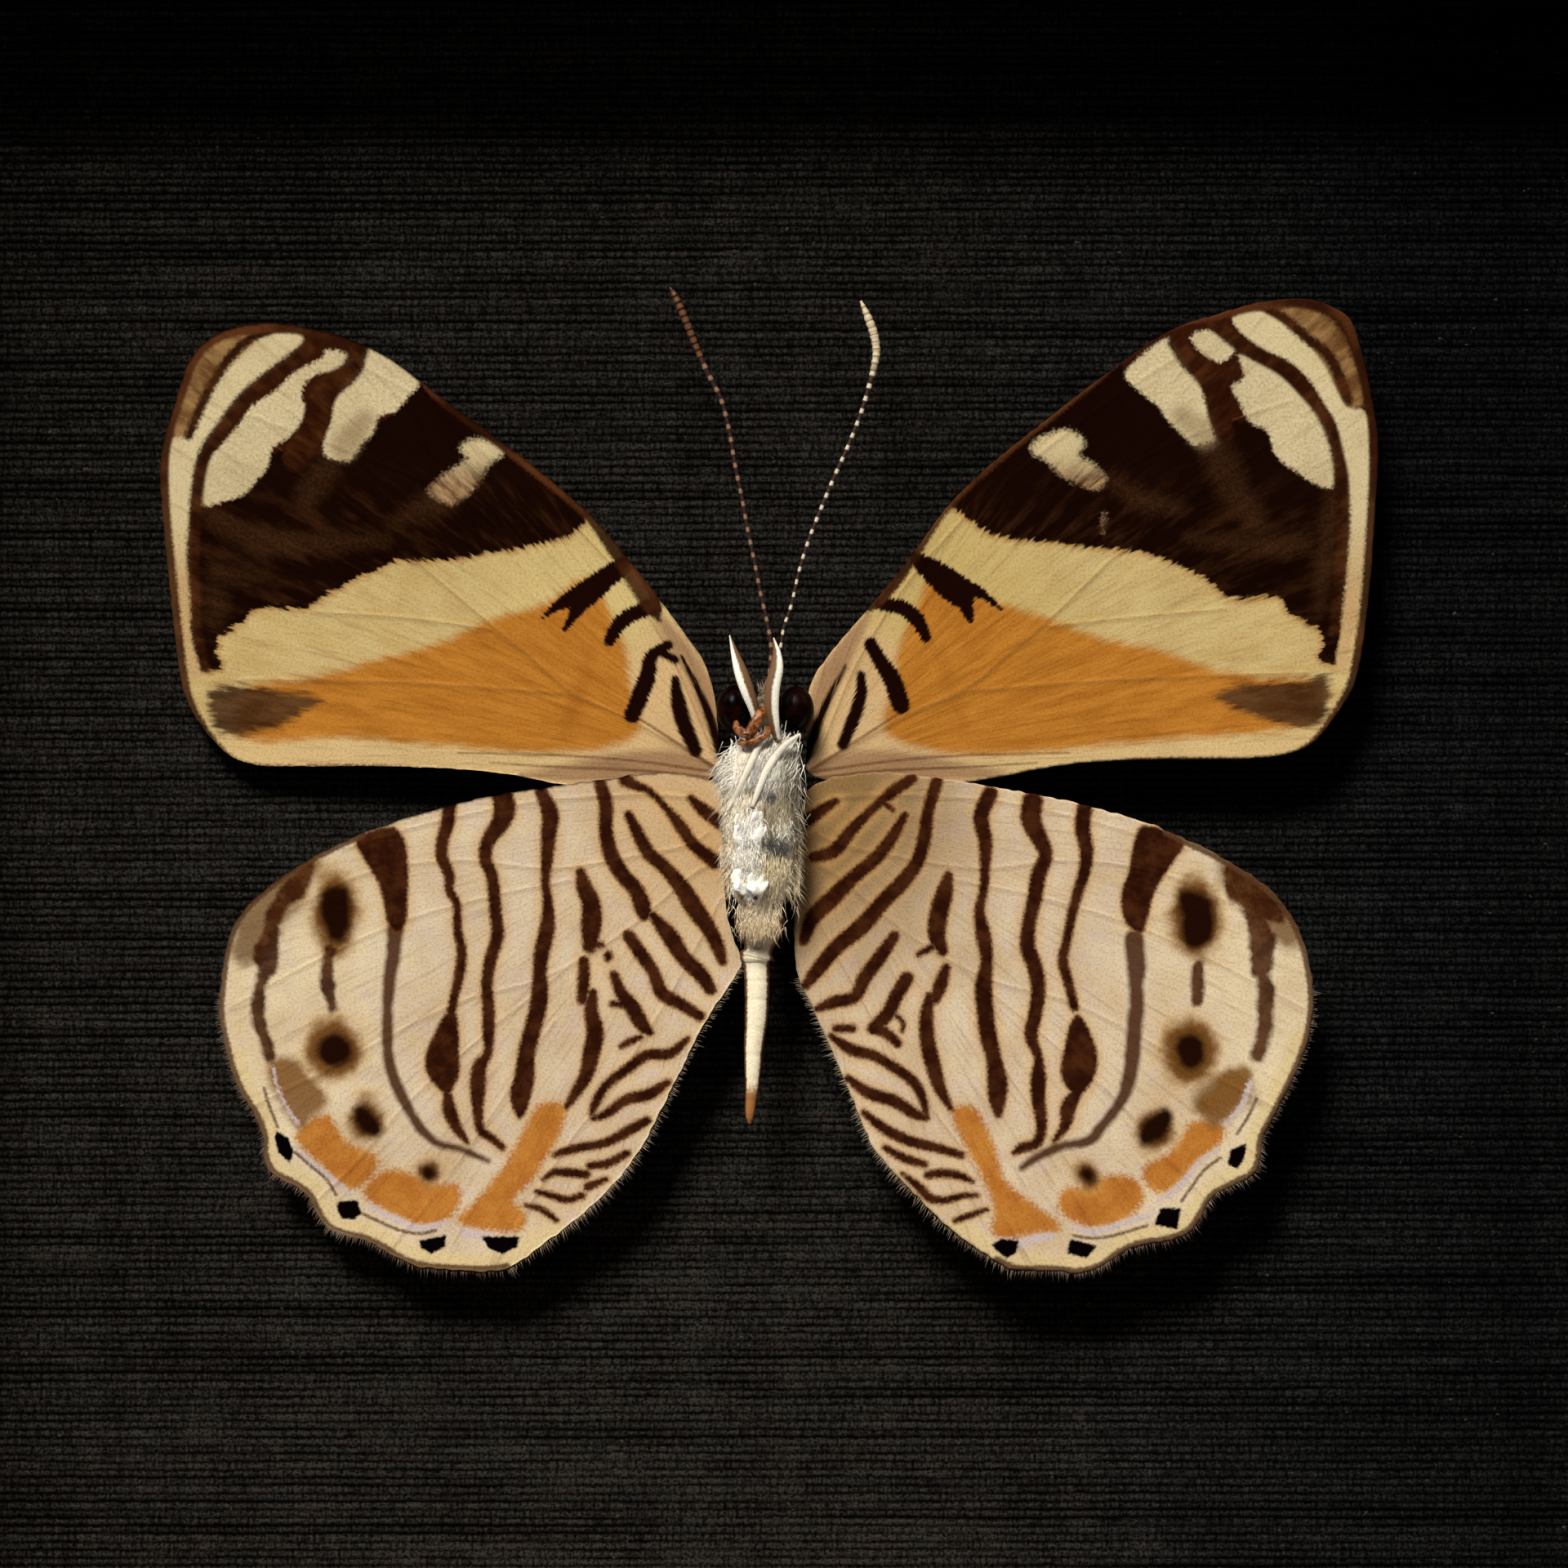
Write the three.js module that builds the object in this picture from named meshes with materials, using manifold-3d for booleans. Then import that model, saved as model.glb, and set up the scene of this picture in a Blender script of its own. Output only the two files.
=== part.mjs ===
// Insect collection drawer: a small open wooden drawer with a pinning board, a linen-finish lining paper
// and one set butterfly, fixed underside up. Millimetres, +Z up, +Y towards the back of the drawer.
// The origin is the centre of the drawer's underside. Left is -X and right is +X, as seen from above.
import * as THREE from "three";
import { mergeVertices } from "three/addons/utils/BufferGeometryUtils.js";
import Module from "manifold-3d";

const wasm = await Module();
wasm.setup();

// ---- driving dimensions ----

const INSIDE = { x: 35, y: 33 }; // half of the drawer's width and depth between its walls
const WALL = 8; // thickness of its four walls
const HEIGHT = 22.5; // height of its walls
const FINGERS = 4; // fingers in each corner joint
const PANEL = { thick: 4, tongue: 2 }; // the bottom panel, let into the walls flush with their lower edges
const REBATE = 3; // width and depth of the step round the rim, where a lid would sit
const FIT = 0.25; // clearance of what is let into the walls
const BOARD = 8; // thickness of the pinning board
const PAPER = 0.5; // thickness of the lining paper

// The turned knob: radii of its bore, spigot, foot, neck and head, and its reach in front of the drawer.
const KNOB = { bore: 2.25, spigot: 2, foot: 4.5, neck: 2.75, head: 6, reach: 14 };

const WINGSPAN = 50; // across the tips of the set forewings
const WING = 0.2; // thickness of a wing, scales and veins included
const LAP = 0.6; // rise from forewing to hindwing, which lies over it
const WING_RISE = 2.5; // from the paper to the forewings' roots
const LEFT_DROOP = 0.07; // fall of the left wings for each millimetre away from their roots
const THORAX = { wide: 1.45, long: 3.4, deep: 2 }; // half sizes
const HEAD = { wide: 0.95, long: 0.75, deep: 0.9 }; // half sizes
const EYE = 0.6; // radius
const BODY_RISE = 3.9; // from the paper to the middle of the thorax
const HEAD_DROP = 0.2; // middle of the head below the middle of the thorax
const ABDOMEN_DROP = 0.4; // middle of the abdomen below the middle of the thorax
const PALP_LIFT = 1.3; // palps and proboscis above the middle of the thorax
const PROBOSCIS = { radius: 0.42, thick: 0.35 }; // the coiled tongue
const ANTENNA = { shaft: 0.1, club: 0.22, dip: 0.9 }; // two radii, and how far the tip lies below the base
const LEG = { radius: 0.15, lift: 0.5 }; // folded forelegs, and their height over the thorax
const GAP = 0.25; // between pieces that sit against each other
const ROUND = 24; // sides of a turned piece

// ---- derived levels and the drawing grid ----

const outer = { x: INSIDE.x + WALL, y: INSIDE.y + WALL };
const finger = HEIGHT / FINGERS;
const paperTop = PANEL.thick + BOARD + PAPER;
const wingZ = paperTop + WING_RISE;
const bodyZ = paperTop + BODY_RISE;
const headZ = bodyZ - HEAD_DROP;
const palpZ = bodyZ + PALP_LIFT;

// The butterfly is drawn on a square grid, x to the right and y down, with the drawer's centre at
// its middle. The forewing tips are TIPS units apart on it, which sets the size of one unit.
const TIPS = 1498;
const MIDDLE = 960;
const unit = WINGSPAN / TIPS;
const onGrid = ([x, y]) => new THREE.Vector2((x - MIDDLE) * unit, (MIDDLE - y) * unit);
const inSpace = ([x, y], z) => new THREE.Vector3((x - MIDDLE) * unit, (MIDDLE - y) * unit, z);

// ---- the butterfly's outlines, on the grid ----

const FOREWING_LEFT = [
  [880, 905], [866, 820], [842, 781], [784, 703], [723, 631], [638, 559], [540, 486], [467, 433],
  [424, 413], [380, 401], [336, 394], [301, 396], [272, 403], [247, 418], [228, 442], [214, 485],
  [198, 535], [193, 572], [196, 630], [203, 700], [210, 768], [221, 842], [233, 871], [260, 908],
  [284, 928], [316, 937], [365, 938], [462, 938], [530, 940], [589, 944], [638, 951], [686, 960],
  [760, 966], [840, 960], [876, 948],
];
const FOREWING_RIGHT = [
  [988, 905], [993, 837], [1034, 779], [1066, 742], [1113, 685], [1157, 624], [1207, 574], [1276, 518],
  [1350, 461], [1434, 404], [1483, 387], [1527, 374], [1572, 366], [1602, 366], [1631, 375],
  [1653, 390], [1666, 425], [1680, 488], [1687, 532], [1687, 577], [1683, 636], [1679, 700],
  [1671, 774], [1658, 839], [1641, 868], [1608, 909], [1581, 922], [1542, 928], [1483, 930],
  [1424, 930], [1369, 931], [1300, 937], [1250, 946], [1178, 959], [1100, 964], [1030, 958], [991, 946],
];
const HINDWING_LEFT = [
  [880, 962], [837, 948], [794, 947], [750, 953], [663, 965], [581, 979], [511, 998], [441, 1021],
  [372, 1055], [315, 1096], [293, 1120], [278, 1151], [268, 1216], [267, 1242], [280, 1303], [293, 1337],
  [312, 1368], [321, 1392], [322, 1416], [333, 1438], [354, 1449], [376, 1464], [388, 1487], [402, 1505],
  [424, 1514], [446, 1519], [468, 1529], [489, 1542], [514, 1551], [554, 1555], [598, 1556], [620, 1553],
  [672, 1518], [724, 1477], [781, 1411], [824, 1329], [863, 1251], [890, 1200], [896, 1180], [882, 1120],
  [873, 1050], [873, 990],
];
const HINDWING_RIGHT = [
  [989, 968], [1010, 955], [1047, 948], [1090, 946], [1177, 957], [1264, 972], [1352, 992], [1430, 1018],
  [1504, 1055], [1560, 1094], [1591, 1142], [1606, 1207], [1606, 1242], [1599, 1277], [1586, 1312],
  [1556, 1372], [1545, 1394], [1542, 1420], [1533, 1438], [1512, 1449], [1484, 1465], [1471, 1486],
  [1456, 1507], [1430, 1518], [1399, 1523], [1373, 1533], [1347, 1551], [1321, 1558], [1291, 1555],
  [1243, 1554], [1221, 1544], [1173, 1511], [1130, 1472], [1086, 1425], [1069, 1403], [1034, 1320],
  [999, 1242], [977, 1196], [975, 1176], [984, 1130], [992, 1060], [991, 1010],
];

const THORAX_AT = [933, 1008];
const HEAD_AT = [937, 872];
const EYE_LEFT_AT = [899, 870];
const EYE_RIGHT_AT = [975, 871];

// Each antenna runs from the head to its club; the last two points carry the club.
const ANTENNA_LEFT = [[941, 842], [943, 790], [906, 598], [888, 504], [871, 466], [850, 419], [821, 356]];
const ANTENNA_RIGHT = [
  [949, 842], [956, 774], [985, 680], [1009, 610], [1032, 557], [1053, 510], [1069, 457], [1071, 410],
  [1054, 369],
];
const PALP_LEFT = [[927, 866], [894, 781]];
const PALP_RIGHT = [[952, 900], [950, 784]];
const PROBOSCIS_AT = [921, 892];
const LEG_LEFT = [[931, 912], [912, 950], [892, 993]];
const LEG_RIGHT = [[972, 908], [943, 938], [921, 992]];
const ABDOMEN_ENDS = [[931, 1121], [918, 1373]];

// ---- helpers ----

const shade = (color, roughness) => new THREE.MeshStandardMaterial({ color, roughness });

const finish = {
  wood: shade(0x8a5a34, 0.45),
  panel: shade(0xb08a5c, 0.7),
  board: shade(0xd8d4c8, 0.9),
  paper: shade(0x171513, 0.8),
  glue: shade(0xd9cfae, 0.3),
  hair: shade(0xb8b2a2, 0.9),
  abdomen: shade(0xe6d9b8, 0.8),
  eye: shade(0x180807, 0.15),
  scales: shade(0xd8c49a, 0.8),
  horn: shade(0x8a3c1a, 0.4),
  antenna: shade(0x3a2417, 0.6),
};

// A closed geometry as a solid that can be cut or joined.
function solid(geometry) {
  const bare = geometry.index ? geometry.toNonIndexed() : geometry.clone();
  bare.deleteAttribute("normal");
  bare.deleteAttribute("uv");
  const merged = mergeVertices(bare, 1e-4);
  return new wasm.Manifold(
    new wasm.Mesh({
      numProp: 3,
      vertProperties: merged.attributes.position.array,
      triVerts: new Uint32Array(merged.index.array),
    }),
  );
}

function geometryOf(manifold) {
  const { vertProperties, triVerts } = manifold.getMesh();
  const geometry = new THREE.BufferGeometry();
  geometry.setAttribute("position", new THREE.BufferAttribute(vertProperties, 3));
  geometry.setIndex(new THREE.BufferAttribute(triVerts, 1));
  return geometry;
}

// A box between two corners.
function block([x0, y0, z0], [x1, y1, z1]) {
  const box = new THREE.BoxGeometry(x1 - x0, y1 - y0, z1 - z0);
  return box.translate((x0 + x1) / 2, (y0 + y1) / 2, (z0 + z1) / 2);
}

function piece(name, geometry, material, position = [0, 0, 0]) {
  const mesh = new THREE.Mesh(geometry, material);
  mesh.name = name;
  mesh.position.set(...position);
  return mesh;
}

// A turned spindle from one point to another; each profile row is [share of the length, radius].
function spindle(from, to, profile, sides) {
  const along = new THREE.Vector3().subVectors(to, from);
  const points = profile.map(([share, radius]) => new THREE.Vector2(radius, share * along.length()));
  const up = new THREE.Vector3(0, 1, 0);
  const turn = new THREE.Quaternion().setFromUnitVectors(up, along.normalize());
  return new THREE.LatheGeometry(points, sides).applyQuaternion(turn).translate(...from.toArray());
}

// A round rod of one radius along a smooth curve through points.
function rod(points, radius, sides, steps) {
  const circle = new THREE.Path().absarc(0, 0, radius, 0, 2 * Math.PI);
  const section = new THREE.Shape(circle.getSpacedPoints(sides).slice(0, -1));
  const path = new THREE.CatmullRomCurve3(points, false, "centripetal");
  return new THREE.ExtrudeGeometry(section, { steps, extrudePath: path, bevelEnabled: false });
}

// An ellipsoid with three half sizes.
function egg(wide, long, deep, sides) {
  return new THREE.SphereGeometry(1, sides, sides / 2).scale(wide, long, deep);
}

// ---- the drawer ----

// A block that reaches beyond the inner faces of the walls by a margin, between two heights.
function bed(margin, low, high) {
  const x = INSIDE.x + margin;
  const y = INSIDE.y + margin;
  return block([-x, -y, low], [x, y, high]);
}

// One finger of the joint in a corner, counted up from the underside.
function cornerFinger(sideX, sideY, level) {
  const x = sideX * (INSIDE.x + WALL / 2);
  const y = sideY * (INSIDE.y + WALL / 2);
  return solid(new THREE.BoxGeometry(WALL, WALL, finger).translate(x, y, (level + 0.5) * finger));
}

// A wall between two corners of its block. It gives up every second finger, from firstCut upwards,
// and is cut back for the bottom panel and for the step round the rim.
function wall(low, high, firstCut) {
  let made = solid(block(low, high));
  for (let level = firstCut; level < FINGERS; level += 2) {
    for (const sideX of [-1, 1]) {
      for (const sideY of [-1, 1]) {
        made = made.subtract(cornerFinger(sideX, sideY, level));
      }
    }
  }
  made = made.subtract(solid(bed(PANEL.tongue, 0, PANEL.thick)));
  return made.subtract(solid(bed(REBATE, HEIGHT - REBATE, HEIGHT)));
}

// The knob is turned about the axis that points out of the drawer's front, with its foot against the
// wood. Each row is a radius and a distance in front of the wood.
function knob() {
  const { spigot, foot, neck, head, reach } = KNOB;
  const profile = [
    [0, -WALL], [spigot, -WALL], [spigot, 0], [foot, 0], [foot, 1.5], [neck, 3], [neck, 4.5],
    [head - 1.5, 7], [head, 9.5], [head - 1, 12], [head - 3.5, reach - 0.5], [0, reach],
  ];
  const turned = new THREE.LatheGeometry(profile.map((row) => new THREE.Vector2(...row)), ROUND);
  return turned.rotateX(Math.PI).translate(0, -outer.y, HEIGHT / 2);
}

function drawer() {
  const { x, y } = outer;
  const bore = new THREE.CylinderGeometry(KNOB.bore, KNOB.bore, 4 * WALL, ROUND);
  bore.translate(0, -y, HEIGHT / 2);
  const front = wall([-x, -y, 0], [x, -INSIDE.y, HEIGHT], 1).subtract(solid(bore));
  const back = wall([-x, INSIDE.y, 0], [x, y, HEIGHT], 1);
  const left = wall([-x, -y, 0], [-INSIDE.x, y, HEIGHT], 0);
  const right = wall([INSIDE.x, -y, 0], [x, y, HEIGHT], 0);
  const group = new THREE.Group();
  group.add(
    piece("drawer_front", geometryOf(front), finish.wood),
    piece("drawer_back", geometryOf(back), finish.wood),
    piece("drawer_side_left", geometryOf(left), finish.wood),
    piece("drawer_side_right", geometryOf(right), finish.wood),
    piece("drawer_knob", knob(), finish.wood),
    piece("drawer_bottom", bed(PANEL.tongue - FIT, 0, PANEL.thick), finish.panel),
    piece("pinning_board", bed(-FIT, PANEL.thick, paperTop - PAPER), finish.board),
    piece("lining_paper", bed(-FIT, paperTop - PAPER, paperTop), finish.paper),
  );
  return group;
}

// ---- the butterfly ----

// A flat wing with a smooth edge through the points of its outline. It falls evenly by droop for each
// millimetre to the left of its first point.
function wing(name, outline, z, droop = 0) {
  const smooth = new THREE.CatmullRomCurve3(outline.map((point) => inSpace(point, 0)), true, "centripetal");
  const edge = smooth.getPoints(2 * outline.length).slice(0, -1);
  const shape = new THREE.Shape(edge.map((point) => new THREE.Vector2(point.x, point.y)));
  const sheet = new THREE.ExtrudeGeometry(shape, { depth: WING, bevelEnabled: false });
  sheet.applyMatrix4(new THREE.Matrix4().makeShear(0, droop, 0, 0, 0, 0));
  return piece(name, sheet, finish.scales, [0, 0, z - droop * onGrid(outline[0]).x]);
}

// Height of the thorax's upper surface at a point, or of its middle for a point beside it.
function thoraxTop(point) {
  const offset = onGrid(point).sub(onGrid(THORAX_AT));
  const inside = 1 - (offset.x / THORAX.wide) ** 2 - (offset.y / THORAX.long) ** 2;
  return bodyZ + THORAX.deep * Math.sqrt(Math.max(0, inside));
}

// The head is hollowed on both sides for the eyes.
function head() {
  const socket = EYE + GAP;
  const skull = egg(HEAD.wide, HEAD.long, HEAD.deep, ROUND).translate(...inSpace(HEAD_AT, headZ).toArray());
  let made = solid(skull);
  for (const at of [EYE_LEFT_AT, EYE_RIGHT_AT]) {
    const hollow = egg(socket, socket, socket, ROUND).translate(...inSpace(at, headZ).toArray());
    made = made.subtract(solid(hollow));
  }
  return geometryOf(made);
}

function eye(name, at) {
  return piece(name, egg(EYE, EYE, EYE, ROUND), finish.eye, inSpace(at, headZ).toArray());
}

// The shaft sinks evenly from the head to the tip, and the club is swollen over the last stretch.
function antenna(name, points) {
  const { shaft: thin, club: thick, dip } = ANTENNA;
  const route = points.map((point, i) => inSpace(point, bodyZ - (dip * i) / points.length));
  const [clubStart, tip] = route.slice(-2);
  const profile = [[0, 0], [0.2, 0.7 * thick], [0.6, thick], [0.9, 0.7 * thick], [1.02, 0]];
  const shaft = solid(rod(route, thin, 6, ROUND));
  const club = solid(spindle(clubStart, tip, profile, 8));
  return piece(name, geometryOf(shaft.add(club)), finish.antenna);
}

// A foreleg lies folded over the thorax.
function foreleg(name, points) {
  const route = points.map((point) => inSpace(point, thoraxTop(point) + LEG.lift));
  return piece(name, rod(route, LEG.radius, 6, 10), finish.scales);
}

function palp(name, ends) {
  const profile = [[0, 0], [0.05, 0.16], [0.35, 0.24], [0.7, 0.15], [1, 0]];
  const [base, tip] = ends.map((point) => inSpace(point, palpZ));
  return piece(name, spindle(base, tip, profile, 10), finish.scales);
}

function proboscis() {
  const { radius, thick } = PROBOSCIS;
  const coil = new THREE.CylinderGeometry(radius, radius, thick, ROUND).rotateX(Math.PI / 2);
  return piece("proboscis", coil, finish.horn, inSpace(PROBOSCIS_AT, palpZ).toArray());
}

// Wide where it joins the thorax, then slender to the tip.
function abdomen() {
  const profile = [
    [0, 0], [0.02, 0.8], [0.06, 1.3], [0.14, 1.05], [0.22, 0.78],
    [0.35, 0.66], [0.6, 0.55], [0.8, 0.42], [0.92, 0.3], [1, 0],
  ];
  const [base, tip] = ABDOMEN_ENDS.map((point) => inSpace(point, bodyZ - ABDOMEN_DROP));
  return piece("abdomen", spindle(base, tip, profile, ROUND), finish.abdomen);
}

// The dab of glue that holds the thorax up from the paper.
function glueDab() {
  const height = BODY_RISE - THORAX.deep - GAP;
  const profile = [[0, 0], [1.5, 0], [1.3, height / 3], [1, height], [0, height]];
  const dab = new THREE.LatheGeometry(profile.map((row) => new THREE.Vector2(...row)), ROUND);
  return piece("glue_dab", dab.rotateX(Math.PI / 2), finish.glue, inSpace(THORAX_AT, paperTop).toArray());
}

function butterfly() {
  const body = egg(THORAX.wide, THORAX.long, THORAX.deep, ROUND);
  const group = new THREE.Group();
  group.add(
    wing("forewing_left", FOREWING_LEFT, wingZ, LEFT_DROOP),
    wing("forewing_right", FOREWING_RIGHT, wingZ),
    wing("hindwing_left", HINDWING_LEFT, wingZ + LAP, LEFT_DROOP),
    wing("hindwing_right", HINDWING_RIGHT, wingZ + LAP),
    piece("thorax", body, finish.hair, inSpace(THORAX_AT, bodyZ).toArray()),
    abdomen(),
    piece("head", head(), finish.hair),
    eye("eye_left", EYE_LEFT_AT),
    eye("eye_right", EYE_RIGHT_AT),
    palp("palp_left", PALP_LEFT),
    palp("palp_right", PALP_RIGHT),
    proboscis(),
    antenna("antenna_left", ANTENNA_LEFT),
    antenna("antenna_right", ANTENNA_RIGHT),
    foreleg("foreleg_left", LEG_LEFT),
    foreleg("foreleg_right", LEG_RIGHT),
    glueDab(),
  );
  return group;
}

const part = new THREE.Group();
part.add(drawer(), butterfly());
export default part;
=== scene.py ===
import math

import bpy
import numpy as np
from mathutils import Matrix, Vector
from mathutils.geometry import delaunay_2d_cdt


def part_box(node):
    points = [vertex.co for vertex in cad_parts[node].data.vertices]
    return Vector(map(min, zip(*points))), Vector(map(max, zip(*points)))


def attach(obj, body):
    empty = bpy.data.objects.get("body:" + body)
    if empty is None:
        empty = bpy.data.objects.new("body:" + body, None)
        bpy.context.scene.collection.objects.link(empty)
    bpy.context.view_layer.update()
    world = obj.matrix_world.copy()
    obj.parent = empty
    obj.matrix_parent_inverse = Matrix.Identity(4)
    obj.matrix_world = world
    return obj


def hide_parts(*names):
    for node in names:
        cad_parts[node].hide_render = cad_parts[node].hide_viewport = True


# An open insect drawer with one butterfly, set underside up over black linen-finish paper. Metres, +Z up, +Y
# to the drawer's back. The butterfly is drawn on a square grid, x to the right and y down, with the drawer's
# centre at its middle and TIPS units across the wing tips. Left is -X.

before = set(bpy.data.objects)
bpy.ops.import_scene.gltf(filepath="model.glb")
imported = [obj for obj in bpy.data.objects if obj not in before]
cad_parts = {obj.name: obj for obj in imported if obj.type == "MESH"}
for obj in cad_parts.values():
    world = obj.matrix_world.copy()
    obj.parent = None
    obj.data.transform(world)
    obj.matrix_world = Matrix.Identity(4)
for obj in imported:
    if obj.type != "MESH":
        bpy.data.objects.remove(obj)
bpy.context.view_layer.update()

MM = 0.001
WINGSPAN = 50 * MM
TIPS = 1498  # units across the wing tips
MIDDLE = 960  # the drawer's centre, in x and y
FIELD = 2 * MIDDLE  # units that the camera takes in
UNIT = WINGSPAN / TIPS
SHEET = 0.2 * MM  # thickness of the wings in the frame


# ---- camera and light ----

CAMERA_HEIGHT = 0.4  # above the wings


def add_camera():
    """Straight above the drawer's middle, with the picture's top towards the drawer's back."""
    data = bpy.data.cameras.new("camera")
    data.sensor_width = 36
    data.lens = data.sensor_width * CAMERA_HEIGHT / (FIELD * UNIT)
    data.clip_end = 20
    camera = bpy.data.objects.new("camera", data)
    camera.location = (0, 0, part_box("forewing_left")[1].z + CAMERA_HEIGHT)
    bpy.context.scene.collection.objects.link(camera)
    bpy.context.scene.camera = camera


TO_KEY = Vector((-0.37, 1.07, 1.0))  # towards the key light
KEY_STRENGTH = 5.32
KEY_SPREAD = math.radians(18)
KEY_COLOUR = (1, 0.985, 0.95)
SKY = (0.085, 0.085, 0.09)
PANELS = 4
PANEL_SIZE = (0.9, 0.18)
PANEL_FAR = 0.9
PANEL_HIGH = 0.11
PANEL_POWER = 5


def add_key():
    data = bpy.data.lights.new("key", "SUN")
    data.energy = KEY_STRENGTH
    data.angle = KEY_SPREAD
    data.color = KEY_COLOUR
    lamp = bpy.data.objects.new("key", data)
    lamp.rotation_euler = TO_KEY.to_track_quat("Z", "Y").to_euler()
    bpy.context.scene.collection.objects.link(lamp)


def add_panel(name, place):
    """A soft panel that looks at the drawer from low down, so that it lights the walls and not the bed."""
    data = bpy.data.lights.new(name, "AREA")
    data.shape = "RECTANGLE"
    data.size, data.size_y = PANEL_SIZE
    data.energy = PANEL_POWER
    lamp = bpy.data.objects.new(name, data)
    lamp.location = place
    lamp.rotation_euler = Vector(place).to_track_quat("Z", "Y").to_euler()
    bpy.context.scene.collection.objects.link(lamp)


def add_lights():
    world = bpy.data.worlds.new("studio")
    world.use_nodes = True
    world.node_tree.nodes["Background"].inputs["Color"].default_value = (*SKY, 1)
    bpy.context.scene.world = world
    add_key()
    for k in range(PANELS):
        turn = math.pi / 4 + k * 2 * math.pi / PANELS
        add_panel(f"side_panel_{k}", (PANEL_FAR * math.cos(turn), PANEL_FAR * math.sin(turn), PANEL_HIGH))


# ---- curves and distances on the drawing grid ----

FAR = 60.0  # the longest distance to a marking that is measured


def run_along(places):
    """Distance along a line of places, at each of them."""
    return np.concatenate([[0], np.cumsum(np.linalg.norm(np.diff(places, axis=0), axis=1))])


def between(first, last, start, end, at):
    """The straight blend from first at start to last at end."""
    return ((end - at) * first + (at - start) * last) / (end - start)


def smooth(points, steps=5, closed=False):
    """A centripetal Catmull-Rom curve through the points, whatever each row of them holds after x and y."""
    rows = np.array(points, float)
    count = len(rows)
    if closed:
        ring = rows
        around = [[(i + k) % count for k in (-1, 0, 1, 2)] for i in range(count)]
    else:
        ring = np.vstack([2 * rows[0] - rows[1], rows, 2 * rows[-1] - rows[-2]])
        around = [[i, i + 1, i + 2, i + 3] for i in range(count - 1)]
    out = []
    for four in around:
        p = ring[four]
        gaps = np.linalg.norm(np.diff(p[:, :2], axis=0), axis=1)
        knots = np.cumsum([0, *(np.maximum(gaps, 1e-3) ** 0.5)])
        at = np.linspace(knots[1], knots[2], steps, endpoint=False)[:, None]
        first = [between(p[i], p[i + 1], knots[i], knots[i + 1], at) for i in range(3)]
        second = [between(first[i], first[i + 1], knots[i], knots[i + 2], at) for i in range(2)]
        out.append(between(*second, knots[1], knots[2], at))
    if not closed:
        out.append(rows[-1:])
    return np.vstack(out)


def stroke_distance(at, stroke):
    """Distance from each place to the edge of a stroke of rows (x, y, full width); negative inside it."""
    best = np.full(len(at), FAR)
    low, high = stroke[:, :2].min(0) - FAR, stroke[:, :2].max(0) + FAR
    near = np.flatnonzero(((at > low) & (at < high)).all(1))
    for a, b in zip(stroke[:-1], stroke[1:]):
        along = b[:2] - a[:2]
        offset = at[near] - a[:2]
        share = np.clip(offset @ along / max(along @ along, 1e-9), 0, 1)
        gap = np.hypot(*(offset - share[:, None] * along).T) - 0.5 * (a[2] + share * (b[2] - a[2]))
        best[near] = np.minimum(best[near], gap)
    return best


def inside(at, outline):
    """True for each place inside a closed outline."""
    odd = np.zeros(len(at), bool)
    for a, b in zip(outline, np.roll(outline, -1, axis=0)):
        crosses = (a[1] > at[:, 1]) != (b[1] > at[:, 1])
        rise = b[1] - a[1]
        reach = a[0] + (at[:, 1] - a[1]) * (b[0] - a[0]) / (rise if rise else 1)
        odd ^= crosses & (at[:, 0] < reach)
    return odd


def patch_distance(at, outline):
    """Distance from each place to the outline of a patch; negative inside it."""
    ring = np.column_stack([outline, np.zeros(len(outline))])
    gap = stroke_distance(at, np.vstack([ring, ring[:1]]))
    return np.where(inside(at, outline), -gap, gap)


def marking_distance(at, strokes=(), patches=(), pointed=(), spots=()):
    """Distance to the nearest of some strokes, patches (smooth or pointed) and round spots."""
    best = np.full(len(at), FAR)
    for stroke in strokes:
        best = np.minimum(best, stroke_distance(at, smooth(stroke)))
    for patch in patches:
        best = np.minimum(best, patch_distance(at, smooth(patch, 3, closed=True)))
    for corners in pointed:
        best = np.minimum(best, patch_distance(at, np.array(corners, float)))
    for x, y, wide, high in spots:
        reach = np.linalg.norm((at - (x, y)) / (wide, high), axis=1)
        best = np.minimum(best, (reach - 1) * min(wide, high))
    return best


def on_grid(at, z):
    """Places on the grid, at height z, in metres."""
    at = np.asarray(at, float)
    x = (at[:, 0] - MIDDLE) * UNIT
    y = (MIDDLE - at[:, 1]) * UNIT
    return np.column_stack([x, y, np.broadcast_to(z, len(at))])


# ---- nodes ----

LIT = (1.11, 1.08, 1.02)  # what the key light returns from a white level surface


def look(red, green, blue):
    """The surface colour that shows as this 8-bit screen colour under the key light."""
    shown = [c / 255 for c in (red, green, blue)]
    linear = [c / 12.92 if c < 0.04045 else ((c + 0.055) / 1.055) ** 2.4 for c in shown]
    return tuple(min(0.95, c / lit) for c, lit in zip(linear, LIT))


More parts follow.
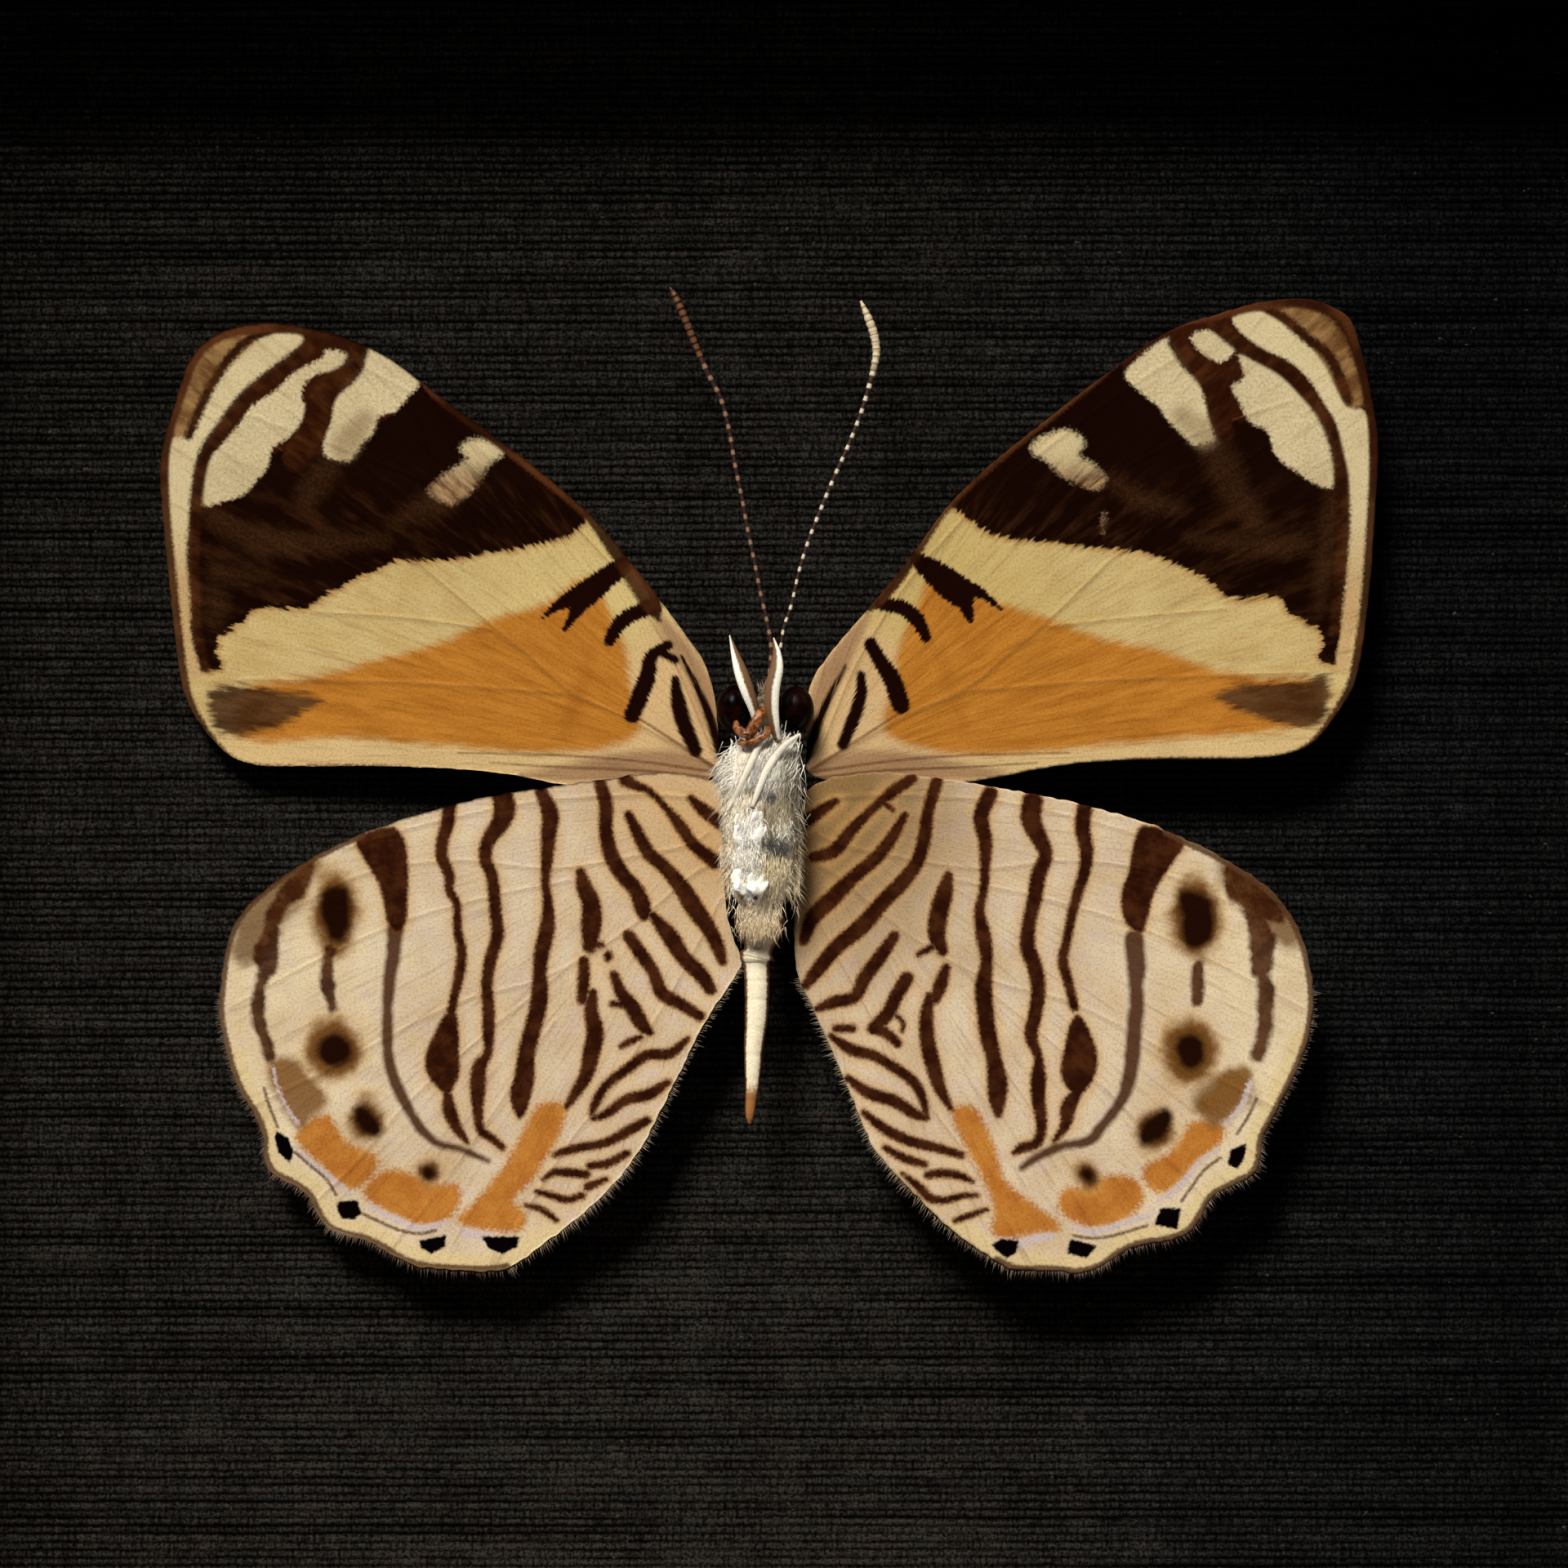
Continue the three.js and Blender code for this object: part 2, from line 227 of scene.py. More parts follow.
class Paint:
    """A material and short names for the nodes that make it."""

    def __init__(self, name, roughness, specular):
        self.material = bpy.data.materials.new(name)
        self.material.use_nodes = True
        self.tree = self.material.node_tree
        self.shader = self.tree.nodes["Principled BSDF"]
        self.set("Roughness", roughness)
        self.set("Specular IOR Level", specular)

    def set(self, name, value):
        self.put(self.shader.inputs[name], value)
        return self

    def put(self, socket, value):
        if isinstance(value, bpy.types.NodeSocket):
            self.tree.links.new(value, socket)
        elif isinstance(value, tuple) and len(value) == 3 and socket.type == "RGBA":
            socket.default_value = (*value, 1)
        else:
            socket.default_value = value

    def node(self, kind, values, output=0, **settings):
        made = self.tree.nodes.new(kind)
        for key, value in settings.items():
            setattr(made, key, value)
        for key, value in values.items():
            self.put(made.inputs[key], value)
        return made.outputs[output]

    def math(self, operation, *values):
        return self.node("ShaderNodeMath", dict(enumerate(values)), operation=operation)

    def mix(self, share, a, b, blend="MIX"):
        return self.node("ShaderNodeMix", {0: share, 6: a, 7: b}, 2, data_type="RGBA", blend_type=blend)

    def step(self, value, low, high, start=0.0, end=1.0):
        values = {0: value, 1: low, 2: high, 3: start, 4: end}
        return self.node("ShaderNodeMapRange", values, interpolation_type="SMOOTHSTEP")

    def position(self):
        """Places in the shared frame, in millimetres."""
        return self.scaled(self.node("ShaderNodeTexCoord", {}, "Object"), (1 / MM, 1 / MM, 1 / MM))

    def scaled(self, vector, scale):
        return self.node("ShaderNodeMapping", {"Vector": vector, "Scale": scale})

    def split(self, vector, axis):
        return self.node("ShaderNodeSeparateXYZ", {0: vector}, axis)

    def join(self, x, y):
        return self.node("ShaderNodeCombineXYZ", {0: x, 1: y})

    def own(self, name, output="Fac"):
        """A value that the mesh carries."""
        return self.node("ShaderNodeAttribute", {}, output, attribute_name=name)

    def noise(self, vector, scale, detail, rough, distortion=0.0):
        values = {"Vector": vector, "Scale": scale, "Detail": detail, "Roughness": rough}
        return self.node("ShaderNodeTexNoise", {**values, "Distortion": distortion}, "Fac")

    def bump(self, height, strength, distance):
        values = {"Height": height, "Strength": strength, "Distance": distance}
        return self.set("Normal", self.node("ShaderNodeBump", values))


# ---- meshes ----

def add_mesh(name, places, faces, paint, replaces, values=None):
    """A piece that rides on the root. values holds numbers or vectors that each vertex carries."""
    mesh = bpy.data.meshes.new(name)
    mesh.from_pydata([tuple(p) for p in places], [], [tuple(int(i) for i in f) for f in faces])
    for key, numbers in (values or {}).items():
        numbers = np.asarray(numbers, np.float32)
        kind, field = ("FLOAT", "value") if numbers.ndim == 1 else ("FLOAT_VECTOR", "vector")
        mesh.attributes.new(key, kind, "POINT").data.foreach_set(field, numbers.ravel())
    mesh.polygons.foreach_set("use_smooth", [True] * len(mesh.polygons))
    mesh.materials.append(paint.material)
    piece = bpy.data.objects.new(name, mesh)
    bpy.context.scene.collection.objects.link(piece)
    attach(piece, "root")
    if replaces:
        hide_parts(*replaces)


def tube(path, radii, sides, flatten=1.0):
    """A capped tube along a path: vertices, faces, and each vertex's share along and place across.

    flatten is the tube's height over its width. The place across runs from -1 to 1.
    """
    path = np.asarray(path, float)
    radii = np.broadcast_to(radii, len(path))
    ahead = np.gradient(path, axis=0)
    ahead /= np.linalg.norm(ahead, axis=1)[:, None]
    side = np.cross(ahead, (0, 0, 1))
    side /= np.linalg.norm(side, axis=1)[:, None]
    up = np.cross(side, ahead)
    turn = np.linspace(0, 2 * math.pi, sides, endpoint=False)
    ring = np.cos(turn)[None, :, None] * side[:, None] + flatten * np.sin(turn)[None, :, None] * up[:, None]
    places = (path[:, None] + radii[:, None, None] * ring).reshape(-1, 3)
    count = len(path)
    faces = []
    for i in range(count - 1):
        for k in range(sides):
            nxt = (k + 1) % sides
            faces.append((i * sides + k, (i + 1) * sides + k, (i + 1) * sides + nxt, i * sides + nxt))
    faces.append(tuple(range(sides)))
    faces.append(tuple((count - 1) * sides + k for k in reversed(range(sides))))
    run = run_along(path)
    share = np.repeat(run / run[-1], sides)
    across = np.tile(np.cos(turn), count)
    return places, faces, share, across


def egg_mesh(centre, half, rings, sides):
    """Vertices and faces of an ellipsoid, poles along Y."""
    rise = np.linspace(0, math.pi, rings + 1)[1:-1]
    turn = np.linspace(0, 2 * math.pi, sides, endpoint=False)
    unit = [(0, 1, 0)]
    unit += [(math.sin(a) * math.cos(b), math.cos(a), math.sin(a) * math.sin(b)) for a in rise for b in turn]
    unit += [(0, -1, 0)]
    last = len(unit) - 1
    faces = []
    for k in range(sides):
        nxt = (k + 1) % sides
        faces.append((0, 1 + nxt, 1 + k))
        for i in range(len(rise) - 1):
            a, b = 1 + i * sides, 1 + (i + 1) * sides
            faces.append((a + k, a + nxt, b + nxt, b + k))
        a = 1 + (len(rise) - 1) * sides
        faces.append((a + k, a + nxt, last))
    return np.array(centre) + np.array(unit) * np.array(half), faces


def boxy(unit, fullness):
    """Points of a unit sphere pushed out towards a box."""
    return unit / (np.abs(unit) ** fullness).sum(1)[:, None] ** (1 / fullness)


def ripple(at, seed, size, octaves):
    """Smooth random heights, about -1 to 1, at places in metres, with waves of about the given size."""
    rng = np.random.default_rng(seed)
    total = np.zeros(len(at))
    weight = 1.0
    for _ in range(octaves):
        for _ in range(3):
            way = rng.normal(size=3)
            way /= np.linalg.norm(way)
            total += weight * np.sin(at @ way * 2 * math.pi / size + rng.uniform(0, 2 * math.pi)) / 3
        size /= 1.9
        weight /= 1.7
    return total


HAIR_SEGMENTS = 2  # of each hair, along it


def hair_mesh(roots, tips, width, bow, rng):
    """Fine three-sided tapering hairs from roots to tips. bow is the offset of each one's middle."""
    count = len(roots)
    share = np.linspace(0, 1, HAIR_SEGMENTS + 1)
    ahead = tips - roots
    length = np.maximum(np.linalg.norm(ahead, axis=1), 1e-7)[:, None]
    side = np.cross(ahead / length, (0, 0, 1))
    side /= np.maximum(np.linalg.norm(side, axis=1), 1e-6)[:, None]
    up = np.cross(side, ahead / length)
    spin = rng.uniform(0, 2 * math.pi, count)
    width = np.broadcast_to(width, count)
    places = []
    for t in share:
        middle = roots + ahead * t + bow * (4 * t * (1 - t))
        radius = 0.5 * width * (1 - 0.85 * t)
        for k in range(3):
            turn = spin + k * 2 * math.pi / 3
            out = np.cos(turn)[:, None] * side + np.sin(turn)[:, None] * up
            places.append(middle + radius[:, None] * out)
    places = np.stack(places, axis=1)
    per = places.shape[1]
    shift = (np.arange(count) * per)[:, None, None]
    faces = []
    for i in range(HAIR_SEGMENTS):
        for k in range(3):
            nxt = (k + 1) % 3
            faces.append((3 * i + k, 3 * i + nxt, 3 * i + 3 + nxt, 3 * i + 3 + k))
    faces = np.array(faces)[None] + shift
    end = 3 * HAIR_SEGMENTS
    caps = np.array([[2, 1, 0], [end, end + 1, end + 2]])[None] + shift
    return places.reshape(-1, 3), [*faces.reshape(-1, 4), *caps.reshape(-1, 3)], per


# ---- the wings' outlines and markings, on the grid ----

FOREWING_LEFT = [
    (880, 905), (866, 820), (842, 781), (784, 703), (723, 631), (638, 559), (540, 486), (467, 433),
    (424, 413), (380, 401), (336, 394), (301, 396), (272, 403), (247, 418), (228, 442), (214, 485),
    (198, 535), (193, 572), (196, 630), (203, 700), (210, 768), (221, 842), (233, 871), (260, 908),
    (284, 928), (316, 937), (365, 938), (462, 938), (530, 940), (589, 944), (638, 951), (686, 960),
    (760, 966), (840, 960), (876, 948),
]
FOREWING_RIGHT = [
    (988, 905), (993, 837), (1034, 779), (1066, 742), (1113, 685), (1157, 624), (1207, 574), (1276, 518),
    (1350, 461), (1434, 404), (1483, 387), (1527, 374), (1572, 366), (1602, 366), (1631, 375), (1653, 390),
    (1666, 425), (1680, 488), (1687, 532), (1687, 577), (1683, 636), (1679, 700), (1671, 774), (1658, 839),
    (1641, 868), (1608, 909), (1581, 922), (1542, 928), (1483, 930), (1424, 930), (1369, 931), (1300, 937),
    (1250, 946), (1178, 959), (1100, 964), (1030, 958), (991, 946),
]
HINDWING_LEFT = [
    (880, 962), (837, 948), (794, 947), (750, 953), (663, 965), (581, 979), (511, 998), (441, 1021),
    (372, 1055), (315, 1096), (293, 1120), (278, 1151), (268, 1216), (267, 1242), (280, 1303), (293, 1337),
    (312, 1368), (321, 1392), (322, 1416), (333, 1438), (354, 1449), (376, 1464), (388, 1487), (402, 1505),
    (424, 1514), (446, 1519), (468, 1529), (489, 1542), (514, 1551), (554, 1555), (598, 1556), (620, 1553),
    (672, 1518), (724, 1477), (781, 1411), (824, 1329), (863, 1251), (898, 1199), (907, 1180), (892, 1130),
    (886, 1060), (884, 990),
]
HINDWING_RIGHT = [
    (989, 968), (1010, 955), (1047, 948), (1090, 946), (1177, 957), (1264, 972), (1352, 992), (1430, 1018),
    (1504, 1055), (1560, 1094), (1591, 1142), (1606, 1207), (1606, 1242), (1599, 1277), (1586, 1312),
    (1556, 1372), (1545, 1394), (1542, 1420), (1533, 1438), (1512, 1449), (1484, 1465), (1471, 1486),
    (1456, 1507), (1430, 1518), (1399, 1523), (1373, 1533), (1347, 1551), (1321, 1558), (1291, 1555),
    (1243, 1554), (1221, 1544), (1173, 1511), (1130, 1472), (1086, 1425), (1069, 1403), (1034, 1320),
    (999, 1242), (977, 1196), (974, 1176), (973, 1130), (977, 1060), (983, 1010),
]


def along(outline, first, last, width):
    """A stroke of one width along part of an outline."""
    return [(x, y, width) for x, y in outline[first:last]]


# Each marking is made of strokes, rows of (x, y, full width); patches, smooth closed outlines, and pointed
# ones, which keep their corners; and spots, rows of (x, y, half width, half height). The root is where the
# scales' fine streaks run from.
FORE_LEFT = {
    "root": (905, 945),
    "orange": {
        "patches": [
            [(722, 705), (667, 739), (628, 750), (594, 760), (550, 781), (511, 795), (462, 807), (413, 822),
             (365, 832), (297, 842), (290, 902), (413, 903), (511, 911), (608, 919), (681, 922), (760, 910),
             (785, 890), (772, 840), (765, 790), (745, 745)],
        ],
    },
    "warm": {"strokes": [[(722, 800, 14), (712, 835, 18), (702, 868, 20), (690, 898, 12)]]},
    "dark": {
        "patches": [
            [(511, 466), (499, 484), (482, 503), (462, 513), (455, 530), (443, 540), (433, 554), (428, 562),
             (399, 556), (365, 554), (350, 550), (331, 554), (326, 569), (311, 588), (297, 603), (267, 613),
             (243, 618), (231, 632), (233, 730), (238, 778), (243, 817), (267, 820), (262, 798), (267, 778),
             (292, 764), (306, 747), (336, 742), (370, 745), (384, 737), (409, 722), (433, 708), (457, 698),
             (482, 686), (511, 686), (560, 683), (599, 676), (637, 671), (676, 661), (701, 654), (717, 636),
             (730, 622), (645, 550), (545, 480)],
        ],
    },
    "cloud": {
        "strokes": [
            [(400, 572, 30), (382, 592, 34), (372, 612, 20)],
            [(545, 612, 24), (514, 622, 24), (482, 638, 12)],
            [(262, 632, 26), (300, 656, 30), (380, 664, 26), (470, 660, 12)],
            [(262, 700, 22), (320, 706, 12)],
        ],
        "spots": [(262, 740, 12, 24)],
    },
    "dusk": {"strokes": [[(446, 512, 22), (420, 545, 34)]]},
    "cream": {
        "patches": [
            [(399, 427), (432, 437), (418, 450), (384, 457), (370, 471), (367, 486), (372, 496), (367, 515),
             (350, 535), (331, 547), (326, 569), (311, 588), (297, 603), (267, 613), (248, 618), (248, 583),
             (255, 559), (272, 540), (289, 520), (306, 496), (336, 476), (355, 457), (375, 445),
             (392, 437)],
            [(446, 426), (468, 432), (492, 447), (514, 464), (499, 484), (482, 503), (462, 509), (455, 530),
             (443, 540), (433, 554), (426, 562), (396, 556), (396, 535), (404, 515), (409, 486), (424, 462),
             (438, 448)],
        ],
    },
    "fleck": {
        "patches": [
            [(567, 542), (584, 537), (601, 540), (616, 554), (599, 566), (594, 574), (584, 593), (564, 611),
             (550, 616), (523, 602), (540, 583), (560, 569), (572, 559), (564, 552)],
        ],
    },
    "rim": {
        "patches": [
            [(338, 406), (365, 407), (371, 418), (355, 437), (326, 457), (297, 481), (277, 506), (258, 535),
             (243, 559), (236, 593), (231, 618), (231, 660), (232, 700), (236, 760), (238, 800), (246, 826),
             (230, 830), (219, 800), (215, 760), (211, 700), (208, 660), (205, 620), (203, 570), (208, 535),
             (228, 520), (241, 488), (262, 452), (287, 428), (311, 413)],
        ],
    },
    "tan": {
        "patches": [
            [(318, 400), (270, 408), (242, 432), (222, 480), (208, 532), (228, 532), (244, 501), (258, 471),
             (283, 443), (308, 420)],
        ],
    },
    "brown": {
        "strokes": [
            [(384, 413, 16), (365, 432, 16), (336, 454, 16), (306, 476, 14), (287, 496, 14), (270, 520, 14),
             (250, 549, 14), (242, 574, 14), (238, 603, 14), (236, 632, 14), (233, 681, 14), (236, 730, 12),
             (238, 778, 12), (248, 817, 10)],
            [(438, 428, 22), (428, 452, 24), (402, 473, 28), (388, 496, 28), (384, 520, 28), (372, 540, 30),
             (360, 560, 30)],
            [(326, 404, 8), (305, 412, 9), (282, 432, 10), (258, 467, 10), (241, 501, 10), (228, 532, 9)],
        ],
    },
    "grey": {
        "patches": [
            [(253, 846), (282, 839), (340, 846), (389, 854), (392, 859), (365, 873), (345, 888), (301, 898),
             (262, 895), (255, 871)],
        ],
    },
    "base": {
        "strokes": [
            [(800, 742, 18), (776, 751, 16), (758, 764, 16), (746, 785, 12)],
            [(818, 790, 10), (798, 803, 14), (793, 827, 18), (784, 851, 20), (774, 876, 18)],
            [(806, 796, 8), (826, 808, 9)],
            [(827, 832, 8), (830, 856, 16), (837, 885, 18), (852, 919, 14)],
            [(764, 672, 9), (786, 704, 10), (808, 744, 6)],
            [(834, 804, 1), (850, 834, 5), (866, 870, 8), (884, 925, 12)],
        ],
        "patches": [
            [(776, 679), (771, 698), (751, 716), (732, 734), (711, 752), (690, 772), (698, 744), (681, 748),
             (664, 756), (684, 733), (701, 720), (730, 701), (754, 686)],
        ],
    },
    "lilac": {
        "strokes": [
            [(804, 752, 6), (828, 788, 18), (854, 832, 24), (872, 876, 22), (884, 920, 12)],
            [(640, 950, 4), (700, 946, 20), (760, 940, 30), (820, 938, 34), (878, 946, 20)],
        ],
    },
    "fold": {
        "strokes": [
            [(560, 922, 2), (690, 925, 3), (780, 932, 3), (880, 946, 4)],
            [(600, 934, 2), (700, 940, 3), (790, 944, 4), (880, 954, 4)],
            [(770, 872, 3), (820, 904, 4), (884, 946, 5)],
        ],
    },
    "border": {
        "strokes": [
            [(806, 758, 3), (797, 738, 20), (784, 710, 28), (754, 666, 24), (723, 626, 20), (638, 552, 24),
             (540, 480, 20), (515, 460, 9), (470, 428, 6), (446, 414, 12), (424, 406, 24), (380, 394, 28),
             (336, 388, 32), (301, 389, 34), (268, 396, 34), (240, 412, 34), (220, 438, 34), (205, 483, 32),
             (191, 533, 30), (186, 572, 30), (189, 630, 30), (196, 700, 30), (203, 768, 30), (214, 846, 30),
             (227, 876, 26), (256, 914, 18), (282, 934, 12), (316, 943, 12), (462, 944, 12),
             (640, 957, 10)],
        ],
    },
    "vein": {
        "strokes": [
            [(886, 944, 4), (769, 881, 3.4), (696, 846, 3), (647, 803, 3), (599, 764, 3), (521, 698, 2.4)],
            [(599, 771, 2.4), (500, 757, 2.4), (379, 749, 2)],
            [(686, 849, 2.6), (500, 836, 2.4), (292, 832, 2)],
            [(521, 698, 2), (420, 610, 2), (330, 540, 2)],
            [(640, 668, 2), (560, 610, 2), (450, 560, 2), (300, 505, 2)],
            [(696, 650, 2.4), (600, 560, 2), (520, 490, 2), (430, 440, 2)],
            [(876, 930, 3), (820, 800, 3), (760, 706, 3), (700, 640, 2.6)],
        ],
    },
}

FORE_RIGHT = {
    "root": (980, 945),
    "orange": {
        "patches": [
            [(1144, 703), (1207, 732), (1256, 748), (1305, 765), (1355, 783), (1429, 798), (1483, 819),
             (1542, 829), (1616, 836), (1612, 880), (1540, 898), (1450, 904), (1360, 912), (1280, 920),
             (1190, 924), (1106, 910), (1081, 890), (1094, 840), (1101, 790), (1121, 745)],
        ],
    },
    "warm": {"strokes": [[(1150, 800, 14), (1162, 835, 18), (1172, 865, 20), (1182, 892, 12)]]},
    "dark": {
        "patches": [
            [(1376, 448), (1379, 461), (1389, 473), (1404, 486), (1419, 498), (1429, 513), (1449, 532),
             (1463, 545), (1493, 532), (1505, 520), (1532, 518), (1552, 527), (1562, 557), (1587, 577),
             (1611, 592), (1631, 597), (1643, 600), (1646, 636), (1643, 685), (1639, 735), (1636, 814),
             (1614, 809), (1621, 784), (1606, 764), (1577, 750), (1569, 735), (1532, 732), (1500, 730),
             (1478, 708), (1449, 695), (1414, 680), (1379, 673), (1335, 671), (1300, 666), (1256, 661),
             (1207, 651), (1189, 636), (1167, 621), (1155, 612), (1204, 564), (1274, 508), (1345, 453)],
        ],
    },
    "cloud": {
        "strokes": [
            [(1490, 552, 36), (1506, 590, 40), (1536, 640, 26)],
            [(1362, 588, 16), (1398, 612, 26), (1440, 622, 14)],
            [(1632, 612, 26), (1622, 680, 22), (1616, 740, 16)],
            [(1460, 660, 12), (1540, 668, 26), (1600, 664, 24)],
        ],
    },
    "dusk": {"strokes": [[(1446, 508, 22), (1474, 532, 34)]]},
    "cream": {
        "patches": [
            [(1518, 434), (1547, 446), (1572, 463), (1597, 488), (1619, 513), (1631, 537), (1636, 572),
             (1631, 597), (1611, 592), (1587, 577), (1562, 557), (1552, 527), (1532, 518), (1518, 493),
             (1508, 473), (1523, 463)],
            [(1458, 414), (1473, 404), (1490, 409), (1513, 426), (1493, 444)],
            [(1377, 460), (1397, 436), (1432, 414), (1444, 432), (1457, 449), (1469, 468), (1476, 493),
             (1483, 514), (1492, 532), (1463, 545), (1449, 532), (1429, 513), (1419, 498), (1404, 486),
             (1389, 473)],
        ],
    },
    "fleck": {
        "patches": [
            [(1266, 542), (1288, 530), (1310, 527), (1328, 542), (1320, 557), (1340, 569), (1355, 587),
             (1345, 599), (1325, 594), (1300, 582), (1281, 564), (1263, 552)],
        ],
        "strokes": [[(1352, 630, 2), (1350, 652, 2)]],
    },
    "rim": {
        "patches": [
            [(1513, 399), (1510, 389), (1537, 380), (1552, 384), (1577, 399), (1601, 419), (1621, 444),
             (1636, 473), (1651, 498), (1671, 503), (1676, 537), (1676, 636), (1673, 685), (1666, 735),
             (1656, 784), (1645, 826), (1636, 812), (1643, 774), (1646, 735), (1651, 685), (1651, 636),
             (1651, 582), (1643, 552), (1636, 518), (1621, 493), (1606, 468), (1582, 444), (1542, 424)],
        ],
    },
    "tan": {
        "patches": [
            [(1560, 374), (1600, 378), (1634, 396), (1656, 440), (1668, 496), (1651, 498), (1636, 473),
             (1621, 444), (1601, 419), (1577, 399)],
        ],
    },
    "brown": {
        "strokes": [
            [(1483, 389, 16), (1508, 414, 16), (1537, 434, 14), (1572, 453, 14), (1597, 478, 14),
             (1616, 503, 12), (1631, 532, 14), (1639, 562, 14), (1643, 597, 16), (1646, 636, 14),
             (1643, 685, 14), (1639, 735, 12), (1634, 774, 12)],
            [(1441, 419, 20), (1453, 439, 20), (1478, 458, 30), (1493, 483, 28), (1493, 508, 26),
             (1498, 527, 24)],
            [(1552, 377, 9), (1572, 389, 10), (1601, 414, 11), (1626, 434, 12), (1641, 463, 12),
             (1651, 490, 10)],
        ],
        "spots": [(1513, 453, 5, 4)],
    },
    "grey": {
        "patches": [
            [(1488, 851), (1513, 841), (1552, 836), (1601, 833), (1626, 826), (1629, 863), (1616, 888),
             (1582, 888), (1547, 880), (1513, 868), (1493, 858)],
        ],
    },
    "base": {
        "strokes": [
            [(1080, 740, 14), (1106, 745, 16), (1123, 759, 16), (1134, 781, 11)],
            [(1066, 789, 14), (1078, 809, 16), (1093, 833, 20), (1103, 863, 20)],
            [(1054, 826, 8), (1054, 853, 14), (1044, 883, 14), (1032, 912, 12)],
            [(1113, 676, 9), (1096, 702, 10), (1078, 735, 8)],
            [(1036, 816, 1), (1020, 844, 5), (1004, 880, 8), (985, 930, 12)],
        ],
        "patches": [
            [(1112, 676), (1145, 686), (1176, 704), (1206, 724), (1226, 746), (1193, 730), (1190, 763),
             (1174, 744), (1152, 729), (1132, 708), (1120, 694)],
        ],
    },
    "lilac": {
        "strokes": [
            [(1062, 754, 6), (1040, 788, 18), (1014, 832, 24), (1000, 876, 18), (990, 916, 12)],
            [(1230, 950, 4), (1168, 944, 20), (1110, 938, 30), (1050, 938, 34), (996, 946, 20)],
        ],
    },
    "fold": {
        "strokes": [
            [(1310, 922, 2), (1180, 925, 3), (1090, 932, 3), (990, 946, 4)],
            [(1270, 934, 2), (1170, 940, 3), (1080, 944, 4), (990, 954, 4)],
            [(1110, 868, 3), (1060, 900, 4), (994, 942, 5)],
        ],
    },
    "border": {
        "strokes": [
            [(1058, 748, 3), (1069, 734, 20), (1088, 710, 27), (1112, 678, 24), (1152, 620, 20),
             (1203, 567, 24), (1272, 511, 22), (1346, 454, 18), (1376, 432, 8), (1424, 401, 6),
             (1446, 391, 12), (1481, 379, 24), (1525, 367, 28), (1572, 359, 32), (1604, 359, 34),
             (1636, 368, 34), (1660, 386, 34), (1674, 424, 32), (1687, 487, 30), (1694, 532, 30),
             (1694, 577, 30), (1690, 636, 30), (1686, 700, 30), (1678, 775, 30), (1665, 842, 30),
             (1646, 874, 26), (1612, 914, 18), (1583, 928, 12), (1542, 934, 12), (1400, 936, 12),
             (1250, 951, 8)],
        ],
    },
    "vein": {
        "strokes": [
            [(992, 944, 4), (1110, 876, 3.4), (1186, 842, 3), (1232, 803, 3), (1282, 762, 3),
             (1356, 690, 2.4)],
            [(1282, 768, 2.4), (1380, 757, 2.4), (1500, 746, 2)],
            [(1190, 846, 2.6), (1380, 832, 2.4), (1600, 824, 2)],
            [(1356, 690, 2), (1460, 610, 2), (1560, 540, 2)],
            [(1240, 668, 2), (1320, 610, 2), (1430, 545, 2), (1580, 490, 2)],
            [(1176, 640, 2.4), (1280, 550, 2), (1360, 490, 2), (1450, 430, 2)],
            [(1000, 930, 3), (1056, 800, 3), (1118, 706, 3), (1180, 636, 2.6)],
        ],
    },
}

